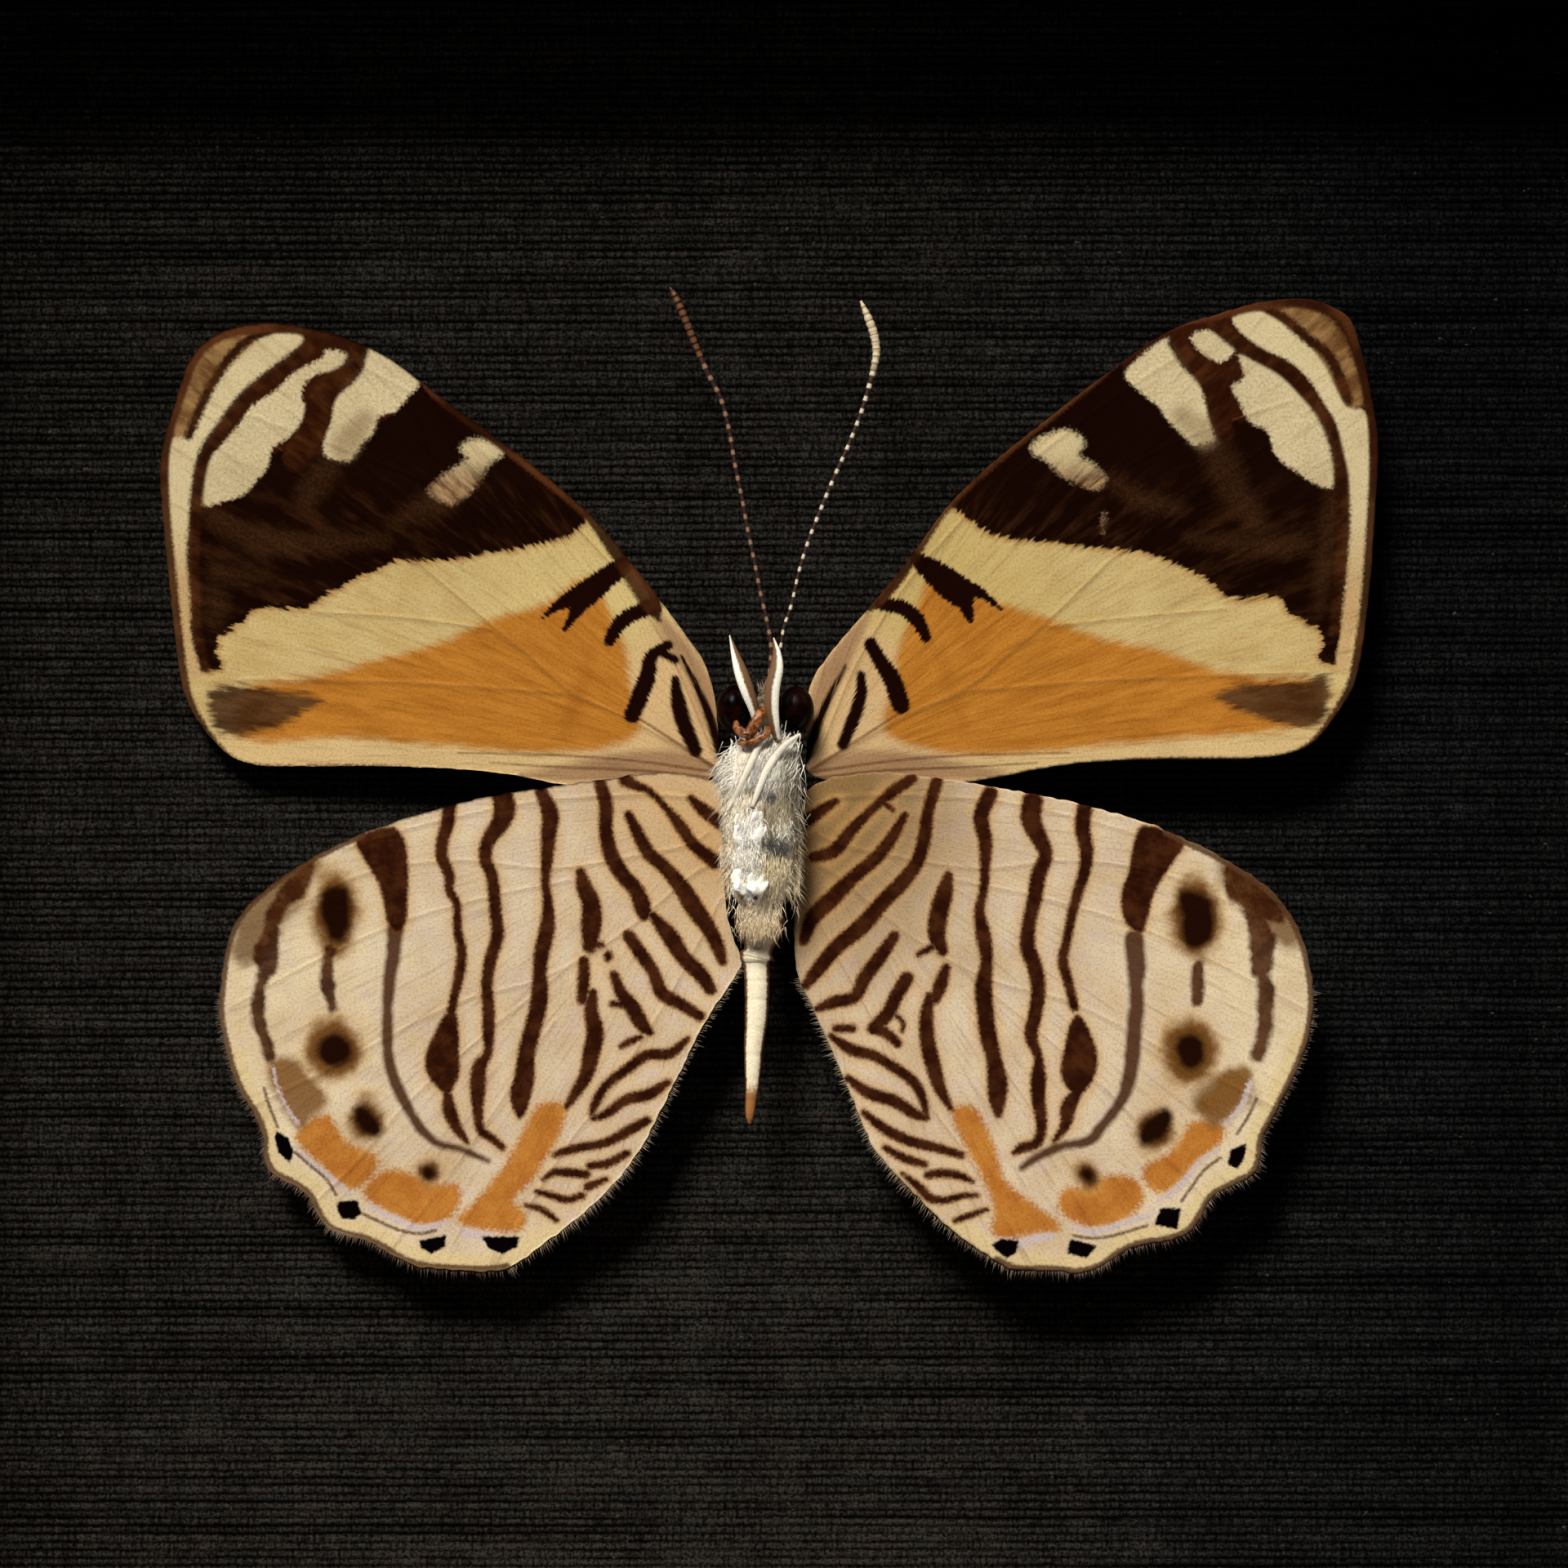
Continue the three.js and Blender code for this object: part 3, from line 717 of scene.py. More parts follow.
HIND_LEFT = {
    "root": (890, 985),
    "border": {"strokes": [along(HINDWING_LEFT, 7, 32, 13)]},
    "margin": {"strokes": [along(HINDWING_LEFT, 14, 33, 42)]},
    "stripe": {
        "patches": [
            [(435, 1029), (481, 1013), (494, 1029), (498, 1050), (499, 1077), (498, 1103), (496, 1129),
             (487, 1142), (476, 1133), (470, 1107), (463, 1081), (450, 1059), (441, 1044)],
            [(555, 1235), (561, 1264), (561, 1290), (562, 1312), (555, 1331), (548, 1340), (533, 1329),
             (522, 1312), (522, 1290), (533, 1264), (544, 1244)],
        ],
        "strokes": [
            [(550, 987, 16), (548, 1007, 16), (541, 1033, 14), (541, 1050, 14), (550, 1072, 12),
             (550, 1090, 10), (559, 1107, 9), (560, 1137, 10), (565, 1164, 11), (563, 1190, 12),
             (557, 1216, 10), (552, 1240, 10)],
            [(548, 1342, 10), (550, 1359, 16), (559, 1381, 12), (572, 1399, 5)],
            [(615, 974, 24), (618, 990, 26), (613, 1007, 22), (598, 1029, 16), (594, 1050, 15),
             (602, 1072, 14), (605, 1094, 14), (607, 1120, 14), (609, 1146, 15), (600, 1177, 14),
             (596, 1207, 13), (598, 1233, 14), (598, 1264, 14), (597, 1290, 10), (587, 1307, 16),
             (585, 1333, 18), (585, 1359, 12), (589, 1385, 10), (602, 1394, 9), (615, 1405, 8)],
            [(663, 970, 14), (674, 998, 20), (672, 1020, 18), (670, 1050, 14), (668, 1081, 10),
             (671, 1107, 12), (670, 1137, 18), (663, 1168, 18), (661, 1190, 16), (661, 1216, 20),
             (657, 1242, 20), (650, 1268, 20), (644, 1294, 20), (642, 1320, 24), (637, 1342, 24),
             (637, 1359, 14), (636, 1368, 4)],
            [(735, 959, 14), (742, 985, 16), (742, 1016, 16), (748, 1046, 18), (763, 1072, 18),
             (779, 1090, 18), (787, 1111, 20), (789, 1120, 14)],
            [(800, 1122, 10), (820, 1146, 20), (837, 1172, 18), (859, 1194, 18), (870, 1211, 14)],
            [(770, 998, 10), (781, 1020, 14), (794, 1044, 16), (816, 1064, 16), (837, 1090, 20),
             (850, 1111, 22), (868, 1137, 18), (879, 1159, 16), (885, 1177, 10)],
            [(766, 955, 16), (776, 961, 12), (794, 968, 8), (816, 990, 8), (833, 1011, 14), (850, 1035, 14),
             (876, 1055, 18)],
            [(846, 977, 8), (859, 990, 14), (876, 1003, 16), (885, 1009, 16)],
            [(711, 1068, 10), (715, 1085, 18), (724, 1107, 22), (724, 1133, 24), (722, 1159, 16)],
            [(722, 1157, 10), (737, 1157, 6)],
            [(715, 1177, 12), (715, 1198, 14), (713, 1224, 12)],
            [(726, 1216, 10), (724, 1238, 16), (729, 1264, 20), (724, 1290, 20), (718, 1316, 16),
             (705, 1338, 12), (694, 1355, 6)],
            [(770, 1146, 14), (785, 1168, 16), (800, 1190, 14), (811, 1216, 16), (833, 1229, 14),
             (857, 1244, 12)],
            [(752, 1194, 10), (761, 1216, 14), (774, 1233, 18), (787, 1255, 16), (796, 1264, 8)],
            [(762, 1230, 8), (750, 1229, 7)],
            [(761, 1281, 6), (772, 1275, 8), (785, 1270, 5)],
            [(842, 1272, 6), (820, 1290, 12), (792, 1292, 12), (768, 1309, 12), (742, 1329, 10),
             (729, 1351, 10), (724, 1364, 5)],
            [(818, 1325, 8), (794, 1340, 14), (768, 1346, 12), (742, 1364, 10), (726, 1370, 5)],
            [(792, 1372, 10), (772, 1383, 12), (742, 1399, 10), (711, 1405, 10), (685, 1412, 8),
             (678, 1415, 4)],
            [(768, 1412, 8), (742, 1425, 10), (722, 1427, 8)],
            [(718, 1438, 10), (698, 1436, 10), (678, 1436, 8), (665, 1444, 4)],
            [(742, 1444, 6), (720, 1453, 10)],
            [(713, 1464, 8), (694, 1469, 8), (676, 1464, 8), (657, 1459, 5)],
            [(644, 1476, 4), (663, 1481, 7), (681, 1494, 6)],
        ],
        "spots": [(745, 1171, 5, 6)],
    },
    "tail": {
        "strokes": [
            [(484, 1140, 14), (479, 1181, 11), (476, 1203, 9), (474, 1233, 8), (474, 1268, 8),
             (476, 1298, 8), (483, 1325, 8), (496, 1351, 8), (511, 1377, 6), (533, 1399, 4), (563, 1407, 2),
             (598, 1422, 1)],
        ],
    },
    "brown": {
        "patches": [
            [(378, 1059), (376, 1081), (367, 1094), (350, 1107), (341, 1124), (335, 1146), (337, 1172),
             (333, 1188), (322, 1192), (315, 1177), (315, 1159), (322, 1142), (328, 1124), (333, 1107),
             (343, 1094), (359, 1072)],
        ],
        "strokes": [
            [(320, 1198, 9), (315, 1220, 8), (315, 1246, 9), (322, 1272, 8), (330, 1294, 6)],
            [(402, 1164, 6), (400, 1185, 8), (400, 1203, 8), (407, 1233, 5)],
        ],
    },
    "halo": {"spots": [(409, 1120, 21, 38), (407, 1285, 27, 30), (448, 1372, 14, 18), (525, 1437, 8, 8)]},
    "smear": {"strokes": [[(376, 1062, 16), (346, 1090, 32), (316, 1128, 36), (300, 1160, 18)]]},
    "spot": {
        "patches": [[(392, 1092), (424, 1086), (428, 1104), (424, 1150), (404, 1154), (394, 1132)]],
        "strokes": [[(440, 1360, 18), (448, 1372, 28), (458, 1384, 20)]],
        "spots": [(409, 1285, 21, 21), (525, 1437, 10, 9)],
    },
    "olive": {
        "patches": [
            [(333, 1301), (354, 1298), (376, 1320), (394, 1342), (398, 1351), (380, 1368), (365, 1379),
             (348, 1359), (337, 1333), (330, 1316)],
        ],
    },
    "white": {
        "strokes": [
            [(333, 1307, 3), (339, 1333, 4), (352, 1359, 4), (365, 1377, 3)],
            [(362, 1407, 4), (380, 1425, 6), (400, 1440, 7), (415, 1453, 7), (428, 1466, 4)],
            [(450, 1477, 4), (467, 1486, 7), (489, 1496, 8), (511, 1505, 8), (533, 1501, 7),
             (546, 1496, 4)],
            [(566, 1508, 8), (584, 1513, 10), (600, 1515, 8)],
        ],
    },
    "line": {
        "strokes": [
            [(322, 1333, 4), (330, 1359, 4), (339, 1381, 4)],
            [(361, 1412, 4), (380, 1429, 4), (398, 1444, 4), (411, 1464, 4)],
            [(441, 1486, 4), (463, 1496, 4), (489, 1507, 4), (515, 1511, 4), (533, 1507, 4)],
        ],
    },
    "black": {
        "pointed": [
            [(337, 1385), (352, 1394), (359, 1412), (354, 1425), (339, 1412), (335, 1394)],
            [(413, 1472), (437, 1470), (442, 1486), (433, 1494), (417, 1493), (411, 1481)],
            [(513, 1520), (546, 1512), (545, 1527), (528, 1536), (515, 1529)],
            [(589, 1514), (637, 1514), (633, 1527), (615, 1536), (598, 1529)],
        ],
    },
    "orange": {
        "patches": [
            [(398, 1368), (407, 1381), (424, 1403), (454, 1416), (459, 1425), (446, 1446), (433, 1453),
             (415, 1446), (394, 1425), (372, 1405), (365, 1390)],
            [(454, 1449), (476, 1436), (507, 1442), (528, 1453), (559, 1455), (555, 1481), (537, 1494),
             (511, 1496), (485, 1486), (459, 1472), (448, 1462)],
            [(685, 1355), (663, 1355), (644, 1385), (628, 1416), (611, 1442), (581, 1477), (563, 1494),
             (598, 1503), (637, 1503), (639, 1486), (624, 1472), (650, 1442), (668, 1412), (685, 1381),
             (689, 1359)],
        ],
    },
    "vein": {
        "strokes": [
            [(876, 990, 3), (846, 978, 3), (795, 974, 3), (750, 975, 2.6), (650, 983, 2.4), (520, 1010, 2),
             (420, 1040, 2)],
            [(868, 1020, 3), (846, 1034, 3), (795, 1045, 2.6), (740, 1056, 2.4), (670, 1064, 2.4),
             (560, 1054, 2), (440, 1072, 2), (330, 1130, 2)],
            [(700, 1078, 2), (600, 1098, 2), (480, 1134, 2), (380, 1180, 2), (280, 1235, 2)],
            [(876, 1056, 3), (850, 1070, 3), (797, 1115, 2.6), (740, 1158, 2.4), (660, 1200, 2.4),
             (560, 1228, 2), (420, 1300, 2), (300, 1360, 2)],
            [(700, 1182, 2.4), (600, 1262, 2.4), (500, 1350, 2), (430, 1430, 2), (384, 1474, 2)],
            [(680, 1250, 2.4), (620, 1340, 2.4), (550, 1440, 2.4), (480, 1528, 2)],
            [(884, 1100, 3), (820, 1220, 2.6), (750, 1330, 2.6), (690, 1410, 2.6), (608, 1545, 2.4)],
        ],
    },
}

HIND_RIGHT = {
    "root": (985, 985),
    "border": {"strokes": [along(HINDWING_RIGHT, 7, 31, 13)]},
    "margin": {"strokes": [along(HINDWING_RIGHT, 13, 32, 42)]},
    "stripe": {
        "patches": [
            [(1399, 1011), (1449, 1031), (1439, 1050), (1421, 1077), (1412, 1094), (1404, 1124),
             (1397, 1142), (1378, 1129), (1373, 1094), (1382, 1068), (1388, 1033)],
            [(1319, 1242), (1334, 1264), (1343, 1294), (1338, 1320), (1321, 1340), (1306, 1331),
             (1299, 1312), (1304, 1281), (1310, 1255)],
        ],
        "strokes": [
            [(1328, 990, 18), (1325, 1013, 18), (1330, 1042, 16), (1328, 1064, 14), (1319, 1094, 12),
             (1312, 1120, 11), (1306, 1151, 10), (1301, 1177, 12), (1308, 1203, 11), (1315, 1233, 10)],
            [(1318, 1338, 12), (1308, 1355, 18), (1304, 1377, 12), (1291, 1396, 5)],
            [(1264, 981, 24), (1262, 1003, 24), (1271, 1024, 20), (1280, 1046, 16), (1271, 1072, 18),
             (1267, 1098, 17), (1260, 1129, 16), (1258, 1159, 18), (1267, 1185, 18), (1271, 1211, 17),
             (1267, 1242, 16), (1262, 1268, 15), (1271, 1294, 10), (1271, 1320, 18), (1271, 1346, 16),
             (1275, 1377, 12), (1269, 1399, 11), (1251, 1405, 11), (1242, 1411, 6)],
            [(1212, 972, 18), (1201, 1000, 18), (1206, 1029, 16), (1206, 1059, 12), (1204, 1090, 10),
             (1199, 1116, 12), (1204, 1146, 18), (1208, 1177, 14), (1204, 1207, 20), (1206, 1238, 20),
             (1210, 1268, 20), (1217, 1298, 18), (1221, 1325, 24), (1221, 1346, 20), (1222, 1364, 8)],
            [(1147, 957, 14), (1136, 994, 14), (1132, 1024, 16), (1123, 1055, 16), (1104, 1081, 18),
             (1082, 1103, 18), (1056, 1133, 20), (1025, 1159, 18), (999, 1190, 16), (986, 1207, 10)],
            [(1108, 998, 8), (1093, 1024, 14), (1073, 1050, 16), (1047, 1072, 16), (1021, 1098, 20),
             (995, 1124, 18), (984, 1151, 12)],
            [(1117, 953, 12), (1095, 968, 14), (1069, 990, 10), (1043, 1016, 14), (1021, 1042, 16),
             (995, 1050, 12)],
            [(1023, 981, 8), (1003, 994, 14), (986, 1007, 16)],
            [(1161, 1072, 10), (1156, 1094, 20), (1149, 1120, 22), (1147, 1146, 20), (1154, 1164, 12)],
            [(1140, 1160, 8), (1125, 1168, 6)],
            [(1158, 1185, 10), (1151, 1207, 16), (1145, 1224, 10)],
            [(1138, 1220, 10), (1134, 1246, 16), (1136, 1277, 18), (1143, 1307, 18), (1151, 1333, 14),
             (1164, 1357, 6)],
            [(1095, 1146, 12), (1077, 1172, 16), (1058, 1198, 16), (1047, 1220, 14), (1021, 1227, 14),
             (1001, 1235, 8)],
            [(1110, 1198, 16), (1097, 1220, 16), (1086, 1242, 16), (1069, 1259, 14)],
            [(1069, 1259, 12), (1084, 1264, 12), (1099, 1277, 10)],
            [(1098, 1244, 5), (1106, 1253, 5), (1104, 1262, 4)],
            [(1024, 1259, 9), (1044, 1259, 9)],
            [(1017, 1268, 6), (1043, 1285, 14), (1069, 1292, 12), (1095, 1307, 12), (1119, 1325, 12),
             (1130, 1346, 10), (1134, 1364, 6)],
            [(1038, 1320, 8), (1064, 1338, 14), (1095, 1348, 14), (1121, 1364, 12), (1134, 1368, 8)],
            [(1058, 1362, 7), (1082, 1381, 12), (1112, 1396, 12), (1147, 1405, 11), (1177, 1414, 8)],
            [(1084, 1405, 7), (1108, 1418, 10), (1132, 1425, 8)],
            [(1136, 1438, 9), (1156, 1436, 10), (1177, 1440, 9), (1191, 1446, 4)],
            [(1104, 1436, 3), (1125, 1453, 10), (1138, 1466, 10), (1156, 1469, 8), (1177, 1464, 7),
             (1197, 1463, 4)],
            [(1169, 1494, 6), (1186, 1488, 7), (1208, 1480, 4)],
            [(1082, 984, 5), (1090, 989, 6), (1094, 993, 3)],
        ],
    },
    "tail": {
        "strokes": [
            [(1388, 1151, 18), (1391, 1181, 18), (1391, 1207, 13), (1391, 1233, 14), (1388, 1264, 14),
             (1386, 1290, 12), (1382, 1320, 11), (1373, 1346, 9), (1360, 1364, 8), (1347, 1381, 7),
             (1334, 1396, 6), (1299, 1403, 5), (1264, 1420, 6), (1251, 1429, 3)],
        ],
    },
    "brown": {
        "patches": [
            [(1502, 1064), (1526, 1072), (1547, 1094), (1565, 1116), (1569, 1127), (1547, 1124),
             (1556, 1146), (1556, 1172), (1547, 1194), (1536, 1192), (1534, 1168), (1530, 1137),
             (1523, 1111), (1508, 1098), (1502, 1081)],
        ],
        "strokes": [
            [(1547, 1198, 10), (1549, 1220, 14), (1549, 1246, 13), (1545, 1272, 13), (1539, 1294, 10)],
            [(1467, 1181, 6), (1465, 1203, 10), (1465, 1224, 8)],
        ],
    },
    "halo": {
        "spots": [(1464, 1124, 24, 39), (1457, 1287, 27, 31), (1412, 1383, 16, 17), (1331, 1438, 8, 8)],
    },
    "smear": {
        "strokes": [[(1504, 1066, 14), (1534, 1088, 28), (1562, 1118, 30), (1578, 1144, 14)]],
        "spots": [(1496, 1338, 20, 14)],
    },
    "spot": {
        "patches": [[(1445, 1092), (1482, 1098), (1486, 1129), (1480, 1157), (1452, 1159), (1445, 1124)]],
        "strokes": [[(1426, 1366, 20), (1412, 1383, 32), (1402, 1392, 22)]],
        "spots": [(1457, 1287, 19, 22), (1331, 1438, 9, 9)],
    },
    "olive": {
        "patches": [
            [(1506, 1309), (1530, 1312), (1521, 1338), (1504, 1364), (1486, 1381), (1473, 1364),
             (1467, 1348), (1486, 1333)],
        ],
    },
    "white": {
        "strokes": [
            [(1530, 1325, 6), (1521, 1351, 6), (1508, 1368, 6), (1499, 1377, 5)],
            [(1491, 1407, 5), (1469, 1422, 6), (1456, 1438, 7), (1439, 1457, 7), (1417, 1470, 5)],
            [(1408, 1488, 6), (1378, 1496, 7), (1352, 1505, 8), (1330, 1507, 7), (1315, 1501, 5)],
            [(1250, 1522, 9), (1270, 1516, 11), (1288, 1513, 8)],
        ],
    },
    "line": {
        "strokes": [
            [(1538, 1345, 4), (1528, 1366, 4), (1514, 1388, 4)],
            [(1494, 1417, 4), (1474, 1432, 4), (1462, 1448, 4), (1446, 1470, 4)],
            [(1404, 1500, 4), (1378, 1508, 4), (1354, 1514, 4), (1330, 1515, 4), (1314, 1512, 4)],
        ],
    },
    "black": {
        "pointed": [
            [(1526, 1399), (1523, 1418), (1515, 1431), (1502, 1425), (1506, 1407)],
            [(1421, 1478), (1446, 1479), (1441, 1505), (1412, 1499)],
            [(1310, 1516), (1343, 1525), (1330, 1540), (1306, 1534)],
            [(1214, 1523), (1225, 1516), (1247, 1518), (1245, 1533), (1232, 1540), (1219, 1531)],
        ],
    },
    "orange": {
        "patches": [
            [(1169, 1359), (1191, 1359), (1204, 1381), (1217, 1412), (1225, 1442), (1247, 1464),
             (1282, 1490), (1295, 1503), (1264, 1507), (1230, 1512), (1217, 1507), (1221, 1481),
             (1208, 1446), (1191, 1412), (1177, 1385)],
            [(1304, 1459), (1330, 1455), (1352, 1444), (1378, 1442), (1395, 1455), (1395, 1472),
             (1373, 1490), (1338, 1499), (1312, 1490), (1299, 1477)],
            [(1404, 1429), (1430, 1416), (1452, 1390), (1460, 1377), (1495, 1381), (1489, 1399),
             (1465, 1416), (1443, 1442), (1421, 1457), (1404, 1446)],
        ],
    },
    "vein": {
        "strokes": [
            [(995, 990, 3), (1025, 978, 3), (1078, 974, 3), (1130, 975, 2.6), (1230, 983, 2.4),
             (1350, 1010, 2), (1450, 1040, 2)],
            [(1000, 1020, 3), (1028, 1034, 3), (1078, 1045, 2.6), (1134, 1056, 2.4), (1204, 1064, 2.4),
             (1310, 1054, 2), (1430, 1072, 2), (1550, 1130, 2)],
            [(1172, 1078, 2), (1270, 1098, 2), (1390, 1134, 2), (1490, 1180, 2), (1596, 1235, 2)],
            [(996, 1056, 3), (1022, 1070, 3), (1075, 1115, 2.6), (1132, 1158, 2.4), (1212, 1200, 2.4),
             (1312, 1228, 2), (1452, 1300, 2), (1570, 1360, 2)],
            [(1172, 1182, 2.4), (1270, 1262, 2.4), (1370, 1350, 2), (1440, 1430, 2), (1482, 1474, 2)],
            [(1192, 1250, 2.4), (1250, 1340, 2.4), (1320, 1440, 2.4), (1390, 1528, 2)],
            [(988, 1100, 3), (1052, 1220, 2.6), (1120, 1330, 2.6), (1180, 1410, 2.6), (1262, 1545, 2.4)],
        ],
    },
}


# ---- the wings ----

WING_THICK = 0.14 * MM
WING_SINK = 0.08 * MM  # how far its upper side lies below the node's, to leave room for veins and waves
WING_WAVE = 0.05 * MM
VEIN_HEIGHT = 0.035 * MM
LATTICE = 2.7  # units between the points of a wing's upper side


def evenly(rows, pitch):
    """A closed line of places, about one pitch apart."""
    ring = np.vstack([rows, rows[:1]])
    run = run_along(ring)
    at = np.linspace(0, run[-1], int(run[-1] / pitch), endpoint=False)
    return np.column_stack([np.interp(at, run, ring[:, 0]), np.interp(at, run, ring[:, 1])])


def ragged(edge, amount, seed):
    """The edge of a wing, with the small nicks and waves of its fringe."""
    rng = np.random.default_rng(seed)
    ahead = np.roll(edge, -1, axis=0) - np.roll(edge, 1, axis=0)
    out = np.column_stack([ahead[:, 1], -ahead[:, 0]]) / np.linalg.norm(ahead, axis=1)[:, None]
    waves = rng.normal(size=len(edge))
    waves = (np.roll(waves, 1) + 2 * waves + np.roll(waves, -1)) / 4
    return edge + amount * waves[:, None] * out


def lattice(outline, pitch, margin):
    """Places of a triangular lattice inside an outline, at least margin from it."""
    low, high = outline.min(0), outline.max(0)
    rows = np.arange(low[1], high[1], pitch * math.sqrt(0.75))
    shifts = np.arange(len(rows)) % 2 * pitch / 2
    at = np.array([(x + s, y) for y, s in zip(rows, shifts) for x in np.arange(low[0], high[0], pitch)])
    return at[patch_distance(at, outline) < -margin]


def triangles(edge, within):
    """Delaunay triangles over an edge and the places within it, all wound one way."""
    at = [Vector(p) for p in np.vstack([edge, within])]
    loop = [list(range(len(edge)))]
    return delaunay_2d_cdt(at, [], loop, 1, 1e-6)[2]


EDGE_PITCH = 4  # units between the points of a wing's edge
COARSE = 24  # and between those of its underside


def wing_mesh(outline, edge_waves, seed):
    """Grid places, which of them lie on the upper side, faces and edge of a closed wing. The upper side is
    fine and the underside plain.
    """
    edge = ragged(evenly(smooth(outline, 8, closed=True), EDGE_PITCH), edge_waves, seed)
    fine = lattice(edge, LATTICE, 0.7 * LATTICE)
    coarse = lattice(edge, COARSE, 0.5 * COARSE)
    count = len(edge)
    upper = triangles(edge, fine)
    lower = triangles(edge, coarse)
    at = np.vstack([edge, fine, edge, coarse])
    is_top = np.arange(len(at)) < count + len(fine)
    shift = count + len(fine)
    turned = cross_sign(at, upper[0]) > 0
    faces = [tuple(reversed(f)) if turned else tuple(f) for f in upper]
    faces += [tuple(i + shift for i in (f if turned else reversed(f))) for f in lower]
    for i in range(count):
        k = (i + 1) % count
        faces.append((i, k, k + shift, i + shift))
    return at, is_top, faces, edge


def cross_sign(at, face):
    """Above zero for a face wound from x towards y on the grid."""
    a, b, c = (at[i] for i in face[:3])
    return (b[0] - a[0]) * (c[1] - a[1]) - (b[1] - a[1]) * (c[0] - a[0])


def wing_values(at, markings):
    """What each vertex of a wing carries: its distance to each marking, and where it is."""
    values = {key: marking_distance(at, **parts) for key, parts in markings.items() if key != "root"}
    root = np.array(markings["root"])
    offset = at - root
    reach = np.linalg.norm(offset, axis=1)
    turn = np.arctan2(offset[:, 1], offset[:, 0])
    if root[0] < MIDDLE:
        turn = turn % (2 * math.pi)
    values["streak"] = np.column_stack([turn * 100, reach * 0.03, np.zeros(len(at))])
    values["reach"] = reach
    values["place"] = np.column_stack([at / 100, np.zeros(len(at))])
    return values


class WingPaint(Paint):
    """A matt paint that lays markings over each other, with streaks from the wing's root and with grains."""

    def __init__(self, name):
        super().__init__(name, 0.85, 0.0)
        streak = self.own("streak", "Vector")
        self.place = self.own("place", "Vector")
        self.teeth = self.noise(streak, 1.0, 3, 0.65)
        self.fibre = self.noise(self.scaled(streak, (0.32, 0.4, 1.0)), 1.0, 3, 0.65)
        self.ribs = self.noise(self.scaled(streak, (0.8, 0.35, 1.0)), 1.0, 4, 0.6)
        self.grain = self.noise(self.place, 24, 3, 0.65)
        self.colour = None

    def wander(self, noise, low, high, first, second):
        """Goes from one screen colour to another as the noise goes from low to high."""
        return self.mix(self.step(noise, low, high), look(*first), look(*second))

    def tinge(self, share, colour, blend="MIX"):
        """Mixes a share of a colour into what is laid so far."""
        self.colour = self.mix(share, self.colour, colour, blend)

    def lay(self, key, colour, soft, jag=None, reach=0.0, strength=1.0, grow=0.0):
        """Lays a marking's colour, soft over 2 * soft units, ragged by reach and wider by grow."""
        gap = self.own(key)
        if grow:
            gap = self.math("SUBTRACT", gap, grow)
        if jag is not None:
            gap = self.math("MULTIPLY_ADD", self.math("SUBTRACT", jag, 0.5), reach, gap)
        self.tinge(self.step(gap, -soft, soft, strength, 0.0), colour)

    def finish(self):
        """Scale dust over the whole wing, fine ribs and wrinkles."""
        dust = self.noise(self.place, 34, 2, 0.75)
        broad = self.noise(self.place, 1.3, 3, 0.55)
        self.tinge(self.step(dust, 0.42, 0.72, 0.0, 0.34), look(140, 106, 66), "MULTIPLY")
        self.tinge(self.step(self.ribs, 0.5, 0.72, 0.0, 0.3), look(160, 126, 92), "MULTIPLY")
        self.tinge(self.step(broad, 0.45, 0.75, 0.0, 0.16), look(190, 150, 110), "MULTIPLY")
        self.set("Base Color", self.colour)
        self.set("Roughness", self.step(self.grain, 0.3, 0.7, 0.75, 0.92))
        height = self.math("ADD", self.math("MULTIPLY", self.ribs, 0.8), self.math("MULTIPLY", dust, 0.5))
        return self.bump(height, 0.4, 0.00004)


def lay_forewing_ground(paint, down, left):
    """Yellow, dark under the outer markings and paler near the body, with the orange field and the veins."""
    reach = paint.own("reach")
    near = look(202, 176, 114) if left else look(190, 162, 98)
    yellow = paint.wander(paint.fibre, 0.35, 0.7, (198, 172, 114), (188, 158, 98))
    yellow = paint.mix(paint.step(reach, 440, 300), yellow, near)
    paint.colour = paint.mix(paint.step(down, 5.8, 6.3), look(50, 21, 8), yellow)
    paint.tinge(paint.step(down, 8.8, 9.15), look(206, 174, 118))
    paint.tinge(paint.step(reach, 235, 160), look(204, 168, 116))
    orange = paint.wander(paint.fibre, 0.3, 0.7, (188, 122, 44), (166, 102, 32))
    paint.lay("orange", orange, 8, paint.teeth, 22)
    paint.lay("warm", look(160, 96, 30), 9, paint.teeth, 10, 0.45)
    paint.lay("vein", look(132, 92, 50), 0.9, strength=0.4)
    paint.lay("lilac", look(148, 110, 76), 7, paint.fibre, 14, 0.8, 2)
    paint.lay("fold", look(100, 64, 38), 1.6, paint.grain, 2, 0.8)


def lay_dark_field(paint, down):
    """The dark field with its ragged fringe and its brown clouds."""
    fringe = paint.mix(paint.step(down, 5.9, 6.2), look(50, 21, 8), look(150, 92, 34))
    paint.lay("dark", fringe, 4, paint.teeth, 30, 0.5, 5)
    brown = paint.wander(paint.fibre, 0.45, 0.75, (20, 6, 2), (50, 26, 12))
    dark = paint.mix(paint.step(down, 5.5, 6.5), look(22, 7, 3), brown)
    paint.lay("dark", dark, 2.2, paint.teeth, 26)
    cloud = paint.wander(paint.grain, 0.3, 0.7, (54, 29, 13), (84, 54, 30))
    paint.lay("cloud", cloud, 14, paint.teeth, 34, 0.38)


